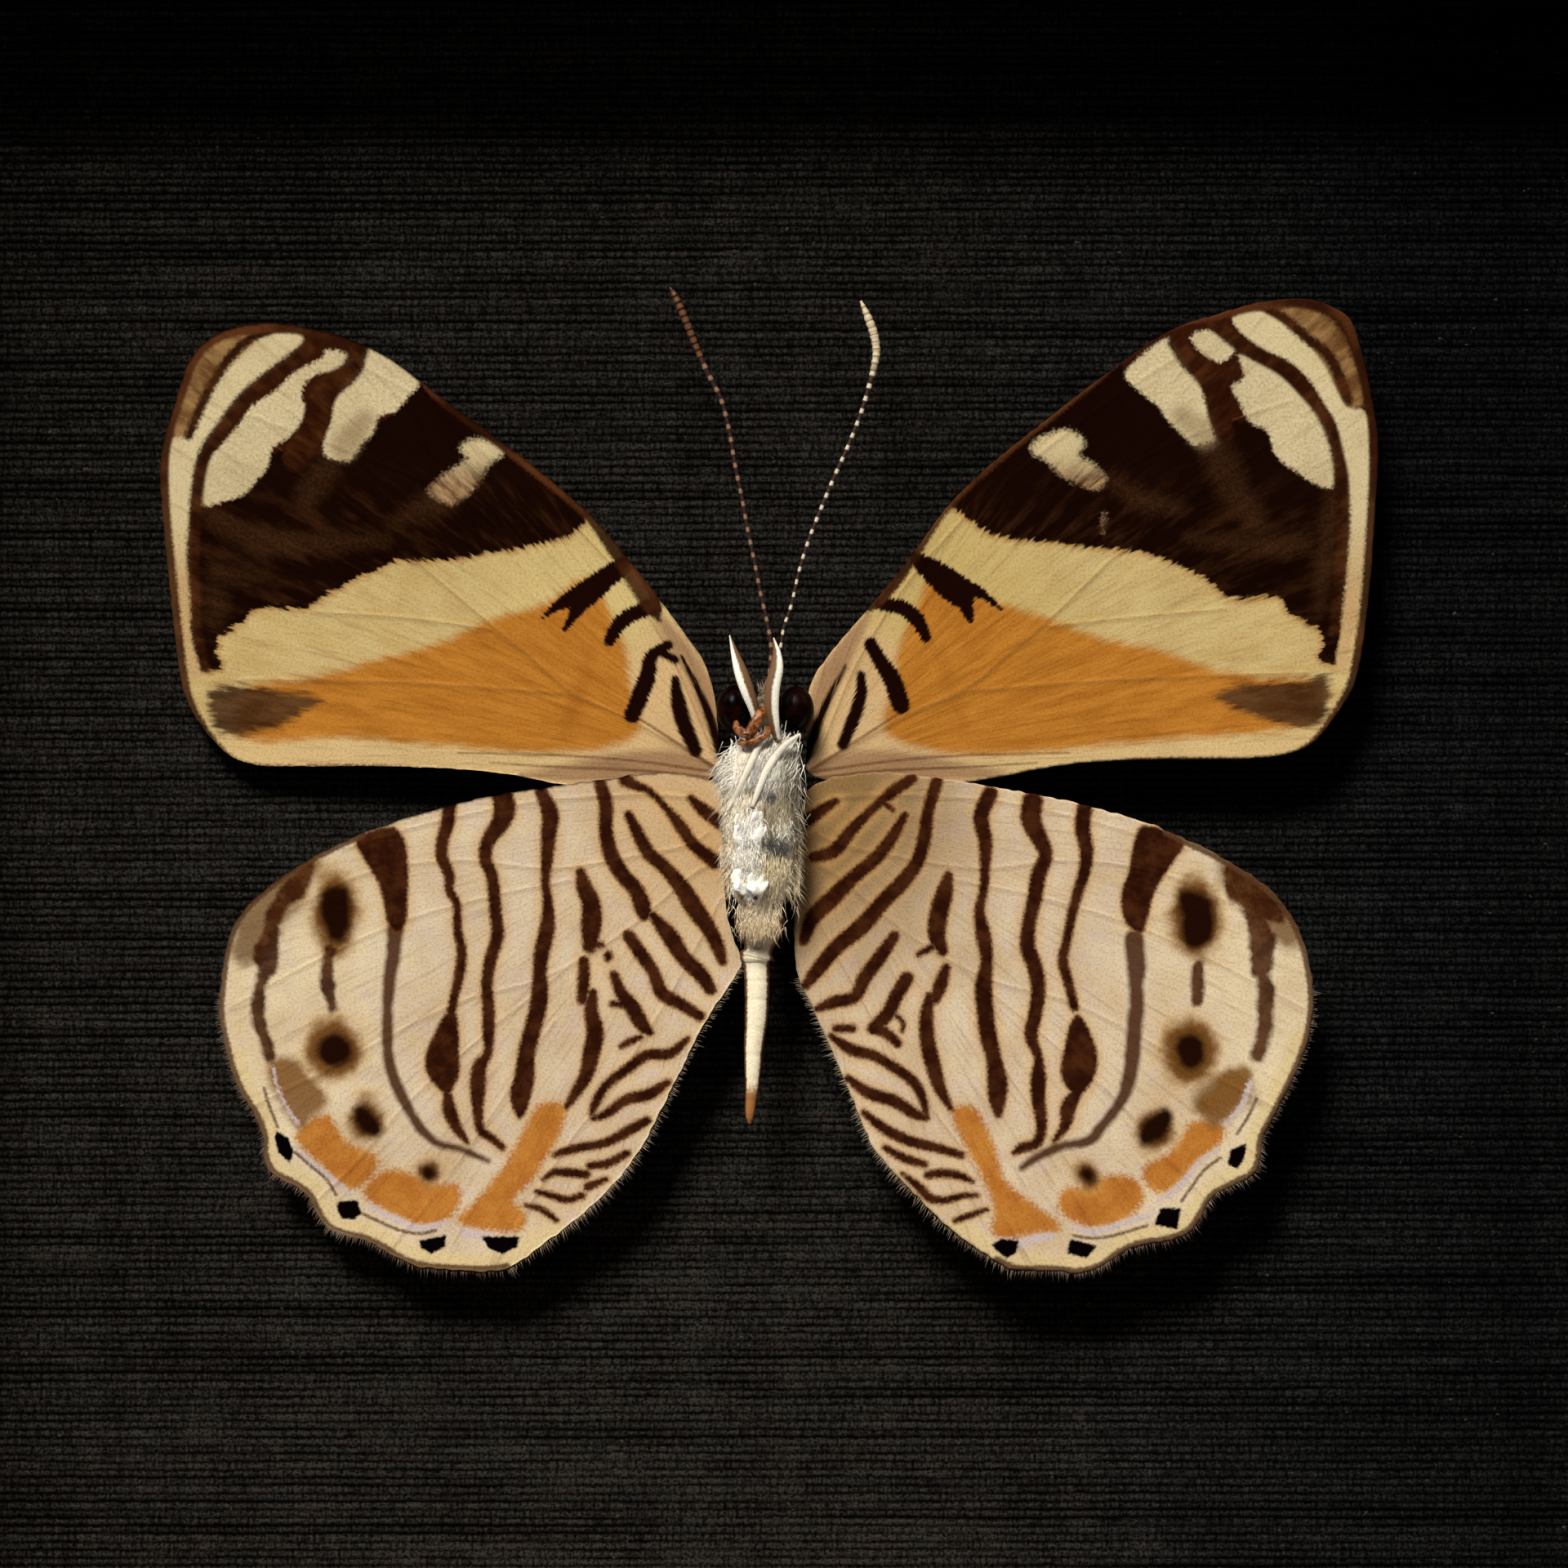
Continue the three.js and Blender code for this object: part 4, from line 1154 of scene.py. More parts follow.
def lay_cream_marks(paint, down):
    """The cream patches with their dusk, the fleck, and the pale rim with its tan corner."""
    cream = paint.wander(paint.grain, 0.3, 0.7, (208, 190, 146), (190, 168, 124))
    cream = paint.mix(paint.step(paint.fibre, 0.5, 0.75, 0.0, 0.5), cream, look(172, 146, 100))
    paint.lay("cream", cream, 3.2, paint.grain, 13)
    paint.lay("dusk", look(138, 114, 78), 9, paint.grain, 16, 0.6)
    mottle = paint.wander(paint.fibre, 0.4, 0.62, (172, 138, 96), (88, 58, 34))
    fleck = paint.mix(paint.step(down, 5.45, 5.95), look(204, 182, 134), mottle)
    paint.lay("fleck", fleck, 5, paint.grain, 20, 0.94)
    rim = paint.mix(paint.step(down, 6.0, 7.4), look(204, 184, 138), look(188, 154, 104))
    paint.lay("rim", rim, 3.0, paint.grain, 9)
    tan = paint.wander(paint.fibre, 0.35, 0.65, (152, 116, 70), (100, 66, 34))
    paint.lay("tan", tan, 5, paint.grain, 12, 0.95)


def lay_forewing_lines(paint):
    """The brown lines, the grey smudge, the strokes at the wing's base and the border."""
    slow = paint.noise(paint.place, 1.1, 3, 0.5)
    brown = paint.wander(paint.fibre, 0.4, 0.7, (40, 15, 5), (72, 38, 16))
    paint.lay("brown", brown, 3.6, paint.grain, 11, 0.98, 1)
    grey = paint.wander(paint.fibre, 0.35, 0.65, (56, 30, 14), (88, 58, 32))
    paint.lay("grey", grey, 7, paint.teeth, 30, 0.96)
    paint.lay("base", look(24, 7, 3), 2.2, paint.teeth, 14, 1.0, 1.2)
    border = paint.wander(slow, 0.4, 0.65, (46, 20, 8), (84, 46, 22))
    paint.lay("border", border, 3.0, paint.grain, 8, 0.97, 2)


def forewing_paint(name, left):
    paint = WingPaint(name)
    down = paint.split(paint.place, 1)
    lay_forewing_ground(paint, down, left)
    lay_dark_field(paint, down)
    lay_cream_marks(paint, down)
    lay_forewing_lines(paint)
    return paint.finish()


def lay_hindwing_ground(paint, patchy, left):
    """Cream, yellower far out and browner near the body, with haze round the stripes, veins and a smear."""
    slow = paint.noise(paint.place, 1.0, 3, 0.55)
    inner = paint.wander(slow, 0.35, 0.7, (212, 190, 154), (198, 170, 130))
    inner = paint.mix(paint.step(patchy, 0.42, 0.68, 0.0, 0.6), inner, look(204, 180, 160))
    outer = paint.wander(slow, 0.3, 0.7, (222, 202, 162), (208, 182, 140))
    outer = paint.mix(paint.step(patchy, 0.45, 0.7, 0.0, 0.5), outer, look(206, 184, 158))
    outward = (5.6, 3.4) if left else (13.0, 15.4)
    paint.colour = paint.mix(paint.step(paint.split(paint.place, 0), *outward), inner, outer)
    near, start = (look(196, 162, 116), 230) if left else (look(140, 108, 66), 300)
    paint.tinge(paint.step(paint.own("reach"), start, 60), near)
    paint.lay("stripe", look(200, 152, 88), 8, slow, 26, 0.5, 6)
    paint.lay("margin", look(212, 186, 132), 6, paint.grain, 8, 0.8)
    paint.lay("vein", look(146, 108, 68), 0.8, strength=0.36)
    paint.lay("smear", look(108, 76, 36), 12, patchy, 36, 0.86, 12)


def lay_soft_marks(paint, patchy):
    """The orange flames, the spots' haloes, the olive patch and the brown lines."""
    flame = paint.wander(patchy, 0.3, 0.7, (188, 122, 46), (172, 100, 32))
    paint.lay("orange", flame, 6, paint.grain, 24, 0.98, 4)
    paint.lay("halo", look(198, 152, 84), 14, patchy, 40, 0.6, 12)
    paint.lay("halo", look(102, 60, 18), 9, patchy, 24, 0.95, 7)
    paint.lay("olive", look(122, 80, 34), 8, patchy, 26, 0.92, 3)
    brown = paint.wander(patchy, 0.4, 0.62, (58, 25, 8), (86, 50, 23))
    paint.lay("brown", brown, 4, patchy, 18, 0.97, 4)
    paint.lay("tail", look(72, 36, 12), 4, patchy, 9, 0.95, 3)


def lay_sharp_marks(paint, patchy):
    """The stripes, the spots and the fine marks of the scalloped edge."""
    paint.lay("stripe", look(98, 58, 30), 2.8, paint.grain, 6, 0.85, 1.6)
    dark = paint.wander(patchy, 0.38, 0.66, (42, 16, 7), (68, 34, 15))
    paint.lay("stripe", dark, 1.9, paint.grain, 9, 1.0, -0.6)
    paint.lay("spot", look(30, 11, 4), 7, patchy, 16)
    paint.lay("white", look(196, 176, 168), 1.8, paint.grain, 14, 0.85, 0.3)
    paint.lay("line", look(84, 52, 30), 1.6, paint.grain, 4, 0.85)
    paint.lay("black", look(7, 2, 3), 1.8, paint.grain, 6)
    paint.lay("border", look(84, 54, 32), 2.2, paint.grain, 6, 0.92)


def hindwing_paint(name, left):
    paint = WingPaint(name)
    patchy = paint.noise(paint.place, 3.2, 4, 0.65)
    lay_hindwing_ground(paint, patchy, left)
    lay_soft_marks(paint, patchy)
    lay_sharp_marks(paint, patchy)
    return paint.finish()


# Each wing's outline, its markings and how far its edge waves, in units.
WINGS = {
    "forewing_left": (FOREWING_LEFT, FORE_LEFT, 0.5),
    "forewing_right": (FOREWING_RIGHT, FORE_RIGHT, 0.5),
    "hindwing_left": (HINDWING_LEFT, HIND_LEFT, 0.9),
    "hindwing_right": (HINDWING_RIGHT, HIND_RIGHT, 0.9),
}


def wing_level(name, x):
    """Height of a wing's upper side at places x. The left wings slope down from their roots."""
    low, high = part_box(name)
    slope = (high.z - low.z - SHEET) / (high.x - low.x)
    return high.z + slope * (x - high.x)


def add_wings():
    for seed, (name, (outline, markings, waves)) in enumerate(WINGS.items()):
        at, is_top, faces, edge = wing_mesh(outline, waves, seed)
        values = wing_values(at, markings)
        flat = on_grid(at, 0.0)
        rise = WING_WAVE * ripple(flat, 10 + seed, 9 * MM, 3)
        ridge = VEIN_HEIGHT * np.exp(-np.square(np.maximum(values["vein"] + 1, 0) / 2.2))
        thick = WING_THICK * np.clip(-patch_distance(at, edge) / 6, 0.25, 1)
        flat[:, 2] = wing_level(name, flat[:, 0]) - WING_SINK + rise + np.where(is_top, ridge, -thick)
        paint = (forewing_paint if "fore" in name else hindwing_paint)(name, "left" in name)
        add_mesh(name + "_scales", flat, faces, paint, (name,), values)


# ---- the body ----

THORAX_HALF = (1.5 * MM, 3.65 * MM, 1.85 * MM)
FULLNESS = 2.6  # 2 is an ellipsoid, and more is boxier


def middle_of(node):
    low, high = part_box(node)
    return (low + high) / 2


def plain_paint(name, first, second, scale, roughness, specular=0.3, bump=0.00003):
    """A material that wanders between two colours, with a fine bump."""
    paint = Paint(name, roughness, specular)
    place = paint.position()
    wander = paint.noise(place, scale, 4, 0.6)
    grit = paint.noise(place, scale * 7, 2, 0.6)
    paint.set("Base Color", paint.mix(paint.step(wander, 0.35, 0.65), first, second))
    paint.set("Roughness", paint.step(grit, 0.3, 0.7, roughness - 0.08, roughness + 0.08))
    return paint.bump(paint.math("ADD", grit, wander), 0.6, bump)


def hair_paint(name):
    """Each hair takes the colour that its mesh carries, darker in places."""
    paint = Paint(name, 0.65, 0.1)
    paint.set("Sheen Weight", 0.55).set("Sheen Roughness", 0.6).set("Sheen Tint", (1.0, 0.95, 0.86))
    grit = paint.noise(paint.position(), 9, 2, 0.6)
    grime = paint.step(grit, 0.4, 0.75, 0.0, 0.15)
    paint.set("Base Color", paint.mix(grime, paint.own("tint", "Vector"), (0.4, 0.34, 0.26), "MULTIPLY"))
    return paint.bump(grit, 0.3, 0.00001)


def add_hairs(name, roots, tips, width, bow, tints, rng, paint):
    """Hairs that each carry one colour."""
    places, faces, per = hair_mesh(roots, tips, width, bow, rng)
    add_mesh(name, places, faces, paint, (), {"tint": np.repeat(tints, per, axis=0)})


def thorax_top(at, least):
    """Height of the thorax at places on the grid, and at least this share of its half depth."""
    centre = middle_of("thorax")
    flat = on_grid(at, 0.0)
    share = np.abs((flat[:, 0] - centre.x) / THORAX_HALF[0]) ** FULLNESS
    share = share + np.abs((flat[:, 1] - centre.y) / THORAX_HALF[1]) ** FULLNESS
    return centre.z + THORAX_HALF[2] * np.maximum(np.clip(1 - share, 0, 1) ** (1 / FULLNESS), least)


def add_thorax():
    centre = np.array(middle_of("thorax"))
    unit, faces = egg_mesh((0, 0, 0), (1, 1, 1), 90, 120)
    unit = boxy(unit, FULLNESS)
    places = centre + unit * np.array(THORAX_HALF)
    places = places + unit * (0.08 * MM * ripple(places, 31, 2.2 * MM, 4))[:, None]
    paint = plain_paint("thorax_skin", look(140, 116, 82), look(222, 206, 176), 1.6, 0.85, 0.0)
    add_mesh("thorax_body", places, faces, paint, ("thorax",))


# The fur of the body: where each tuft's middle is, how far it spreads, which way its hairs lie, their
# length, colour and number. Places and lengths are in grid units.
FUR = [
    ((940, 850), (8, 8), (0.0, -1.0), 11, (120, 92, 60), 60),
    ((936, 908), (24, 12), (0.0, 1.0), 26, (240, 228, 202), 480),
    ((905, 935), (12, 18), (-0.5, 1.0), 32, (246, 236, 212), 520),
    ((958, 928), (14, 20), (-0.5, 1.0), 40, (236, 228, 204), 520),
    ((968, 946), (8, 30), (-0.2, 1.0), 26, (120, 104, 78), 340),
    ((936, 935), (10, 20), (-0.3, 1.0), 28, (206, 198, 186), 260),
    ((902, 985), (10, 26), (-0.2, 1.0), 28, (236, 222, 192), 460),
    ((958, 985), (14, 22), (0.1, 1.0), 26, (166, 148, 112), 420),
    ((916, 1004), (12, 22), (-0.1, 1.0), 24, (255, 252, 242), 620),
    ((958, 1006), (10, 12), (0.2, 0.8), 20, (255, 246, 204), 260),
    ((953, 1062), (15, 20), (0.1, 1.0), 26, (238, 214, 166), 460),
    ((912, 1042), (16, 14), (0.0, 1.0), 20, (244, 232, 206), 520),
    ((919, 1080), (15, 14), (0.0, 1.0), 10, (255, 252, 242), 700),
    ((930, 1108), (17, 12), (0.0, 1.0), 18, (226, 204, 164), 760),
    ((930, 1130), (17, 9), (0.0, 1.0), 16, (196, 168, 124), 460),
    ((893, 1036), (4, 46), (-0.15, 1.0), 22, (214, 190, 150), 240),
    ((974, 1036), (4, 46), (0.05, 1.0), 22, (150, 126, 90), 260),
    ((944, 972), (4, 4), (0.1, 1.0), 9, (22, 15, 10), 60),
    ((952, 1030), (12, 11), (0.3, 1.0), 14, (24, 15, 8), 260),
    ((973, 1000), (4, 44), (0.0, 1.0), 16, (58, 44, 26), 190),
    ((925, 1000), (22, 44), (0.0, 1.0), 18, (118, 92, 60), 150),
]


LIGHTEST = (0.95, 0.9, 0.8)  # the palest that a hair gets


def turned(way, angles):
    """The unit vector along way, turned by each of the angles."""
    x, y = np.array(way) / np.linalg.norm(way)
    return np.column_stack([x * np.cos(angles) - y * np.sin(angles), x * np.sin(angles) + y * np.cos(angles)])


def add_fur():
    rng = np.random.default_rng(5)
    paint = hair_paint("fur")
    roots, tips, tints = [], [], []
    for middle, spread, way, length, tint, count in FUR:
        count = int(1.6 * count)
        at = np.array(middle) + rng.normal(size=(count, 2)) * np.array(spread) * 0.6
        ahead = turned(way, rng.normal(size=count) * 0.33)
        end = at + ahead * (length * rng.uniform(0.5, 1.25, count))[:, None]
        low = thorax_top(at, 0.5) - 0.05 * MM
        high = thorax_top(end, 0.4) + rng.uniform(0.02, 0.15, count) * MM
        roots.append(on_grid(at, low))
        tips.append(on_grid(end, np.minimum(high, middle_of("thorax").z + 2.1 * MM)))
        tints.append(np.array(look(*tint)) * rng.uniform(0.8, 1.45, (count, 1)))
    roots, tips, tints = np.vstack(roots), np.vstack(tips), np.minimum(np.vstack(tints), LIGHTEST)
    count = len(roots)
    sideways = (rng.normal(0, 0.05, count), rng.normal(0, 0.05, count))
    bow = np.column_stack([*sideways, rng.uniform(0.02, 0.15, count)]) * MM
    add_hairs("body_fur", roots, tips, rng.uniform(0.022, 0.05, count) * MM, bow, tints, rng, paint)


# The white bases of the middle and hind legs, low lobes in pairs, and the dark joints behind the hind ones:
# how far down the grid each lies and its half sizes in mm.
COXAE = {
    "mid_lobe": (1014, (0.34, 0.62, 0.13)),
    "lobe": (1078, (0.4, 0.55, 0.17)),
    "joint": (1097, (0.1, 0.09, 0.17)),
}
COXA_X = {"left": 908, "right": 927}


def add_coxae():
    white = plain_paint("coxa_white", look(255, 250, 238), look(232, 218, 190), 5, 0.75, 0.05)
    dark = plain_paint("coxa_joint", look(120, 74, 40), look(60, 34, 18), 6, 0.6, 0.1)
    for side, x in COXA_X.items():
        for part, (y, half) in COXAE.items():
            place = on_grid([(x, y)], thorax_top(np.array([(x, y)]), 0.7))[0]
            unit, faces = egg_mesh((0, 0, 0), (1, 1, 1), 24, 32)
            places = place + boxy(unit, 2.8) * np.array(half) * MM
            places = places + (0.09 * MM * ripple(places, x, 0.7 * MM, 4))[:, None]
            add_mesh(f"coxa_{side}_{part}", places, faces, dark if part == "joint" else white, ())


HEAD_HALF = (0.62 * MM, 0.72 * MM, 0.85 * MM)
EYE_HALF = (0.72 * MM, 0.96 * MM, 0.8 * MM)


def add_head():
    places, faces = egg_mesh(middle_of("head"), HEAD_HALF, 30, 40)
    places = places + (0.04 * MM * ripple(places, 8, 0.8 * MM, 3))[:, None]
    skin = plain_paint("head_skin", look(60, 44, 26), look(140, 124, 96), 4, 0.75)
    add_mesh("head_body", places, faces, skin, ("head",))
    paint = eye_paint()
    for eye in ("eye_left", "eye_right"):
        centre = middle_of(eye)
        places, faces = egg_mesh((centre.x, centre.y + 0.06 * MM, centre.z), EYE_HALF, 40, 56)
        add_mesh(eye + "_globe", places, faces, paint, (eye,))


def eye_paint():
    """Near-black red-brown, glossy, with the faint grain of its facets."""
    paint = Paint("eye", 0.3, 0.03)
    place = paint.position()
    facets = paint.node("ShaderNodeTexVoronoi", {"Vector": place, "Scale": 22.0}, 0)
    cloud = paint.noise(place, 1.6, 3, 0.6)
    black, red = (0.0012, 0.0002, 0.0001), (0.008, 0.0012, 0.0006)
    paint.set("Base Color", paint.mix(paint.step(cloud, 0.4, 0.7), black, red))
    paint.set("Roughness", paint.step(cloud, 0.3, 0.7, 0.24, 0.4))
    return paint.bump(facets, 0.15, 0.00001)


# Rows of (x, y, height above the middle of the thorax in mm, half width).
PALPS = {
    "left": [(927, 882, 1.25, 5), (922, 864, 1.4, 7), (915, 845, 1.5, 8.5), (907, 822, 1.45, 8),
             (900, 800, 1.3, 4.6), (894, 779, 1.2, 0.8)],
    "right": [(952, 906, 1.25, 4), (948, 888, 1.4, 6.5), (945, 866, 1.5, 8.5), (946, 842, 1.5, 9),
              (951, 818, 1.4, 8), (951, 800, 1.3, 5), (947, 782, 1.2, 0.8)],
}


def scale_paint(name, pale, dark):
    """Pale scales that turn dark where the side that the mesh carries is low."""
    paint = Paint(name, 0.6, 0.2)
    place = paint.position()
    grit = paint.noise(place, 14, 3, 0.6)
    side = paint.math("MULTIPLY_ADD", paint.math("SUBTRACT", grit, 0.5), 0.7, paint.own("side"))
    tone = paint.mix(paint.step(grit, 0.3, 0.7, 0.0, 0.3), pale, dark)
    paint.set("Base Color", paint.mix(paint.step(side, -0.1, 0.25), dark, tone))
    return paint.bump(grit, 0.4, 0.00002)


def add_palps():
    base = middle_of("thorax").z
    paint = scale_paint("palp", look(253, 244, 218), look(104, 72, 42))
    for side, rows in PALPS.items():
        rows = smooth(rows, 6)
        path = on_grid(rows[:, :2], base + rows[:, 2] * MM)
        places, faces, _, across = tube(path, rows[:, 3] * UNIT, 14, 0.8)
        palp = "palp_" + side
        values = {"side": 0.05 - across if side == "left" else 0.05 + across}
        add_mesh(palp + "_scales", places, faces, paint, (palp,), values)


def horn_paint():
    paint = Paint("horn", 0.35, 0.3)
    place = paint.position()
    bands = paint.noise(place, 5, 3, 0.6)
    paint.set("Base Color", paint.mix(paint.step(bands, 0.35, 0.65), look(64, 28, 8), look(150, 88, 36)))
    paint.set("Roughness", paint.step(bands, 0.3, 0.7, 0.28, 0.5))
    return paint.bump(bands, 0.5, 0.00003)


# The coiled tongue, seen edge on: an upright stub and two turns of the coil beside it. Rows as for the palps.
PROBOSCIS = [
    [(937, 864, 1.3, 3), (932, 874, 1.5, 6), (926, 885, 1.6, 7), (920, 897, 1.6, 6.5), (915, 907, 1.5, 3)],
    [(901, 884, 1.4, 2.5), (903, 892, 1.6, 5), (910, 898, 1.65, 6), (920, 900, 1.7, 5.5)],
    [(905, 909, 1.4, 3), (915, 911, 1.6, 4.5), (928, 906, 1.7, 4.5), (939, 898, 1.6, 5),
     (942, 891, 1.4, 3)],
]


def add_proboscis():
    base = middle_of("thorax").z
    paint = horn_paint()
    for k, rows in enumerate(PROBOSCIS):
        rows = smooth(rows, 6)
        path = on_grid(rows[:, :2], base + rows[:, 2] * MM)
        places, faces, _, _ = tube(path, rows[:, 3] * UNIT, 16, 0.8)
        places = places + (0.02 * MM * ripple(places, 60 + k, 0.35 * MM, 2))[:, None]
        add_mesh(f"proboscis_turn_{k}", places, faces, paint, ("proboscis",) if k == 0 else ())


# Rows of (x, y, half width).
LEGS = {
    "left": [(933, 906, 3), (925, 922, 4.6), (913, 948, 4.8), (902, 972, 3.8), (890, 994, 2)],
    "right": [(980, 899, 1.6), (964, 910, 4.2), (950, 925, 5.2), (938, 944, 5), (929, 966, 4.2),
              (921, 988, 2.4)],
}


def add_legs():
    paint = scale_paint("leg", look(232, 220, 194), look(120, 92, 60))
    for side, rows in LEGS.items():
        rows = smooth(rows, 6)
        path = on_grid(rows[:, :2], thorax_top(rows[:, :2], 0.75) + 0.14 * MM)
        places, faces, _, across = tube(path, rows[:, 2] * UNIT, 12, 0.7)
        leg = "foreleg_" + side
        add_mesh(leg + "_scales", places, faces, paint, (leg,), {"side": 0.45 - 0.5 * across})


# Rows of (x, y, half width) down the abdomen.
ABDOMEN = [
    (931, 1112, 26), (930, 1126, 31), (931, 1140, 28), (930, 1152, 21), (928, 1164, 17), (927, 1169, 20.5),
    (926, 1174, 20), (926, 1179, 16.5), (927, 1200, 15.5), (927, 1220, 15), (926, 1250, 14),
    (923, 1280, 12), (922, 1305, 10.5), (921, 1330, 8.5), (919, 1352, 7), (918, 1366, 5.5), (918, 1375, 2),
]
RINGS = 9  # segments of the abdomen's slender part
BELL = 0.35  # share of the abdomen's rows in the part before the slender one


def abdomen_paint():
    """Cream above, brown along both sides, orange-brown at the tip."""
    paint = Paint("abdomen", 0.6, 0.25)
    place = paint.position()
    grit = paint.noise(place, 12, 3, 0.6)
    down = paint.own("down")
    tone = paint.mix(paint.step(grit, 0.3, 0.7), look(246, 232, 202), look(226, 204, 158))
    fuzz = paint.mix(paint.step(grit, 0.3, 0.7), look(190, 178, 152), look(140, 116, 84))
    colour = paint.mix(paint.step(down, 0.185, 0.205), fuzz, tone)
    wander = paint.math("MULTIPLY_ADD", grit, 0.1, down)
    colour = paint.mix(paint.step(wander, 0.84, 0.92), colour, look(150, 98, 48))
    edge = paint.math("MULTIPLY_ADD", grit, 0.3, paint.math("ABSOLUTE", paint.own("across")))
    colour = paint.mix(paint.step(edge, 0.84, 1.02), colour, look(84, 48, 20))
    paint.set("Base Color", colour)
    return paint.bump(grit, 0.5, 0.00003)


def add_abdomen():
    rows = smooth(ABDOMEN, 10)
    path = on_grid(rows[:, :2], middle_of("abdomen").z)
    step = np.linspace(0, 1, len(rows))
    ring = ((step - BELL) * RINGS / (1 - BELL)) % 1
    joints = 1 - 0.05 * np.exp(-np.square(ring / 0.16)) * (step > BELL)
    places, faces, down, across = tube(path, rows[:, 2] * UNIT * joints, 40)
    values = {"down": down, "across": across}
    add_mesh("abdomen_body", places, faces, abdomen_paint(), ("abdomen",), values)


# Rows of (x, y, half width) from the head to the tip.
ANTENNAE = {
    "left": [(941, 842, 2.4), (944, 792, 2.3), (940, 765, 2.3), (932, 730, 2.3), (924, 689, 2.3),
             (916, 651, 2.4), (909, 613, 2.4), (900, 569, 2.5), (893, 528, 2.6), (883, 490, 2.8),
             (865, 454, 3.2), (850, 419, 4.2), (836, 384, 4.7), (826, 362, 3.8), (820, 352, 1.5)],
    "right": [(949, 842, 1.8), (956, 792, 1.8), (960, 768, 1.8), (968, 745, 1.9), (979, 698, 2),
              (991, 660, 2.2), (1006, 622, 2.4), (1021, 586, 2.4), (1038, 548, 2.5), (1053, 510, 2.6),
              (1063, 478, 3.0), (1070, 451, 4.0), (1073, 431, 4.8), (1070, 410, 5.2), (1063, 390, 4.8),
              (1054, 369, 1.5)],
}


BAND = 16  # units from one pale band of an antenna's shaft to the next
CLUB_BAND = 9  # and on its club


def bands(paint, run, pitch):
    """A wave along an antenna that repeats each pitch."""
    return paint.math("SINE", paint.math("MULTIPLY", run, 2 * math.pi / pitch))


def club_colour(paint, run, side):
    """The left club is orange-brown with dark rings and a dark tip, the right one cream."""
    rings = bands(paint, run, CLUB_BAND)
    if side == "right":
        return paint.mix(paint.step(rings, 0.6, 1.0), look(206, 188, 150), look(150, 116, 76))
    club = paint.mix(paint.step(rings, 0.1, 0.8), look(104, 60, 26), look(22, 9, 4))
    return paint.mix(paint.step(run, 500, 512), club, look(14, 6, 4))


def antenna_paint(side):
    """Pale bands on the dark shaft, which are dimmer on the left one, and the club."""
    paint = Paint("antenna_" + side, 0.5, 0.3)
    run = paint.own("along")
    grit = paint.noise(paint.position(), 14, 2, 0.6)
    if side == "left":
        dark, pale, club_from = look(38, 17, 9), look(140, 102, 74), (408, 424)
    else:
        dark, pale, club_from = look(48, 24, 14), look(214, 196, 166), (395, 425)
    shaft = paint.mix(paint.step(bands(paint, run, BAND), 0.1, 0.8), dark, pale)
    colour = paint.mix(paint.step(run, *club_from), shaft, club_colour(paint, run, side))
    grime = paint.step(grit, 0.4, 0.7, 0.0, 0.3)
    paint.set("Base Color", paint.mix(grime, colour, (0.3, 0.2, 0.12), "MULTIPLY"))
    return paint.bump(grit, 0.3, 0.00001)


def add_antennae():
    for side, rows in ANTENNAE.items():
        antenna = "antenna_" + side
        low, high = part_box(antenna)
        rows = smooth(rows, 10)
        run = run_along(rows[:, :2])
        height = high.z - 0.1 * MM - (high.z - low.z - 0.3 * MM) * run / run[-1]
        joints = 1 + 0.1 * np.sin(run * 4 * math.pi / BAND)
        places, faces, share, _ = tube(on_grid(rows[:, :2], height), rows[:, 2] * UNIT * joints, 10)
        values = {"along": share * run[-1]}
        add_mesh(antenna + "_shaft", places, faces, antenna_paint(side), (antenna,), values)


# Stretches of a hindwing's edge with long hairs: where they start and end, length in units and colour.
FRINGE = {
    "hindwing_left": [
        ((268, 1216), (333, 1438), 7, (104, 76, 46)),
        ((333, 1438), (620, 1553), 9, (112, 80, 50)),
        ((620, 1553), (781, 1411), 11, (150, 126, 88)),
        ((781, 1411), (896, 1180), 9, (170, 148, 112)),
    ],
    "hindwing_right": [
        ((1606, 1207), (1542, 1420), 7, (104, 76, 46)),
        ((1542, 1420), (1243, 1554), 9, (112, 80, 50)),
        ((1243, 1554), (1086, 1425), 11, (150, 126, 88)),
        ((1086, 1425), (977, 1196), 9, (170, 148, 112)),
    ],
}


def add_fringes():
    rng = np.random.default_rng(9)
    paint = hair_paint("fringe")
    for wing, stretches in FRINGE.items():
        outline = WINGS[wing][0]
        ring = evenly(smooth(outline, 8, closed=True), 1.1)
        middle = np.mean(outline, axis=0)
        roots, tips, tints = [], [], []
        for start, end, length, tint in stretches:
            first, last = (int(np.argmin(np.linalg.norm(ring - p, axis=1))) for p in (start, end))
            at = ring[first:last] if first < last else np.vstack([ring[first:], ring[:last]])
            out = at - middle
            out /= np.linalg.norm(out, axis=1)[:, None]
            lean = out + rng.normal(size=out.shape) * 0.28 + (0, 0.35)
            roots.append(at - out * 3)
            tips.append(at + lean * (length * rng.uniform(0.25, 1.0, len(at)))[:, None])
            tints.append(np.array(look(*tint)) * rng.uniform(0.7, 1.15, (len(at), 1)))
        roots, tips, tints = np.vstack(roots), np.vstack(tips), np.clip(np.vstack(tints), 0, 0.95)
        z = wing_level(wing, on_grid(roots, 0)[:, 0]) - 0.14 * MM
        low, high = on_grid(roots, z), on_grid(tips, z + rng.uniform(-0.06, 0.04, len(tips)) * MM)
        bow = rng.normal(0, 0.012, low.shape) * MM
        add_hairs(wing + "_fringe", low, high, 0.035 * MM, bow, tints, rng, paint)


# ---- the drawer ----

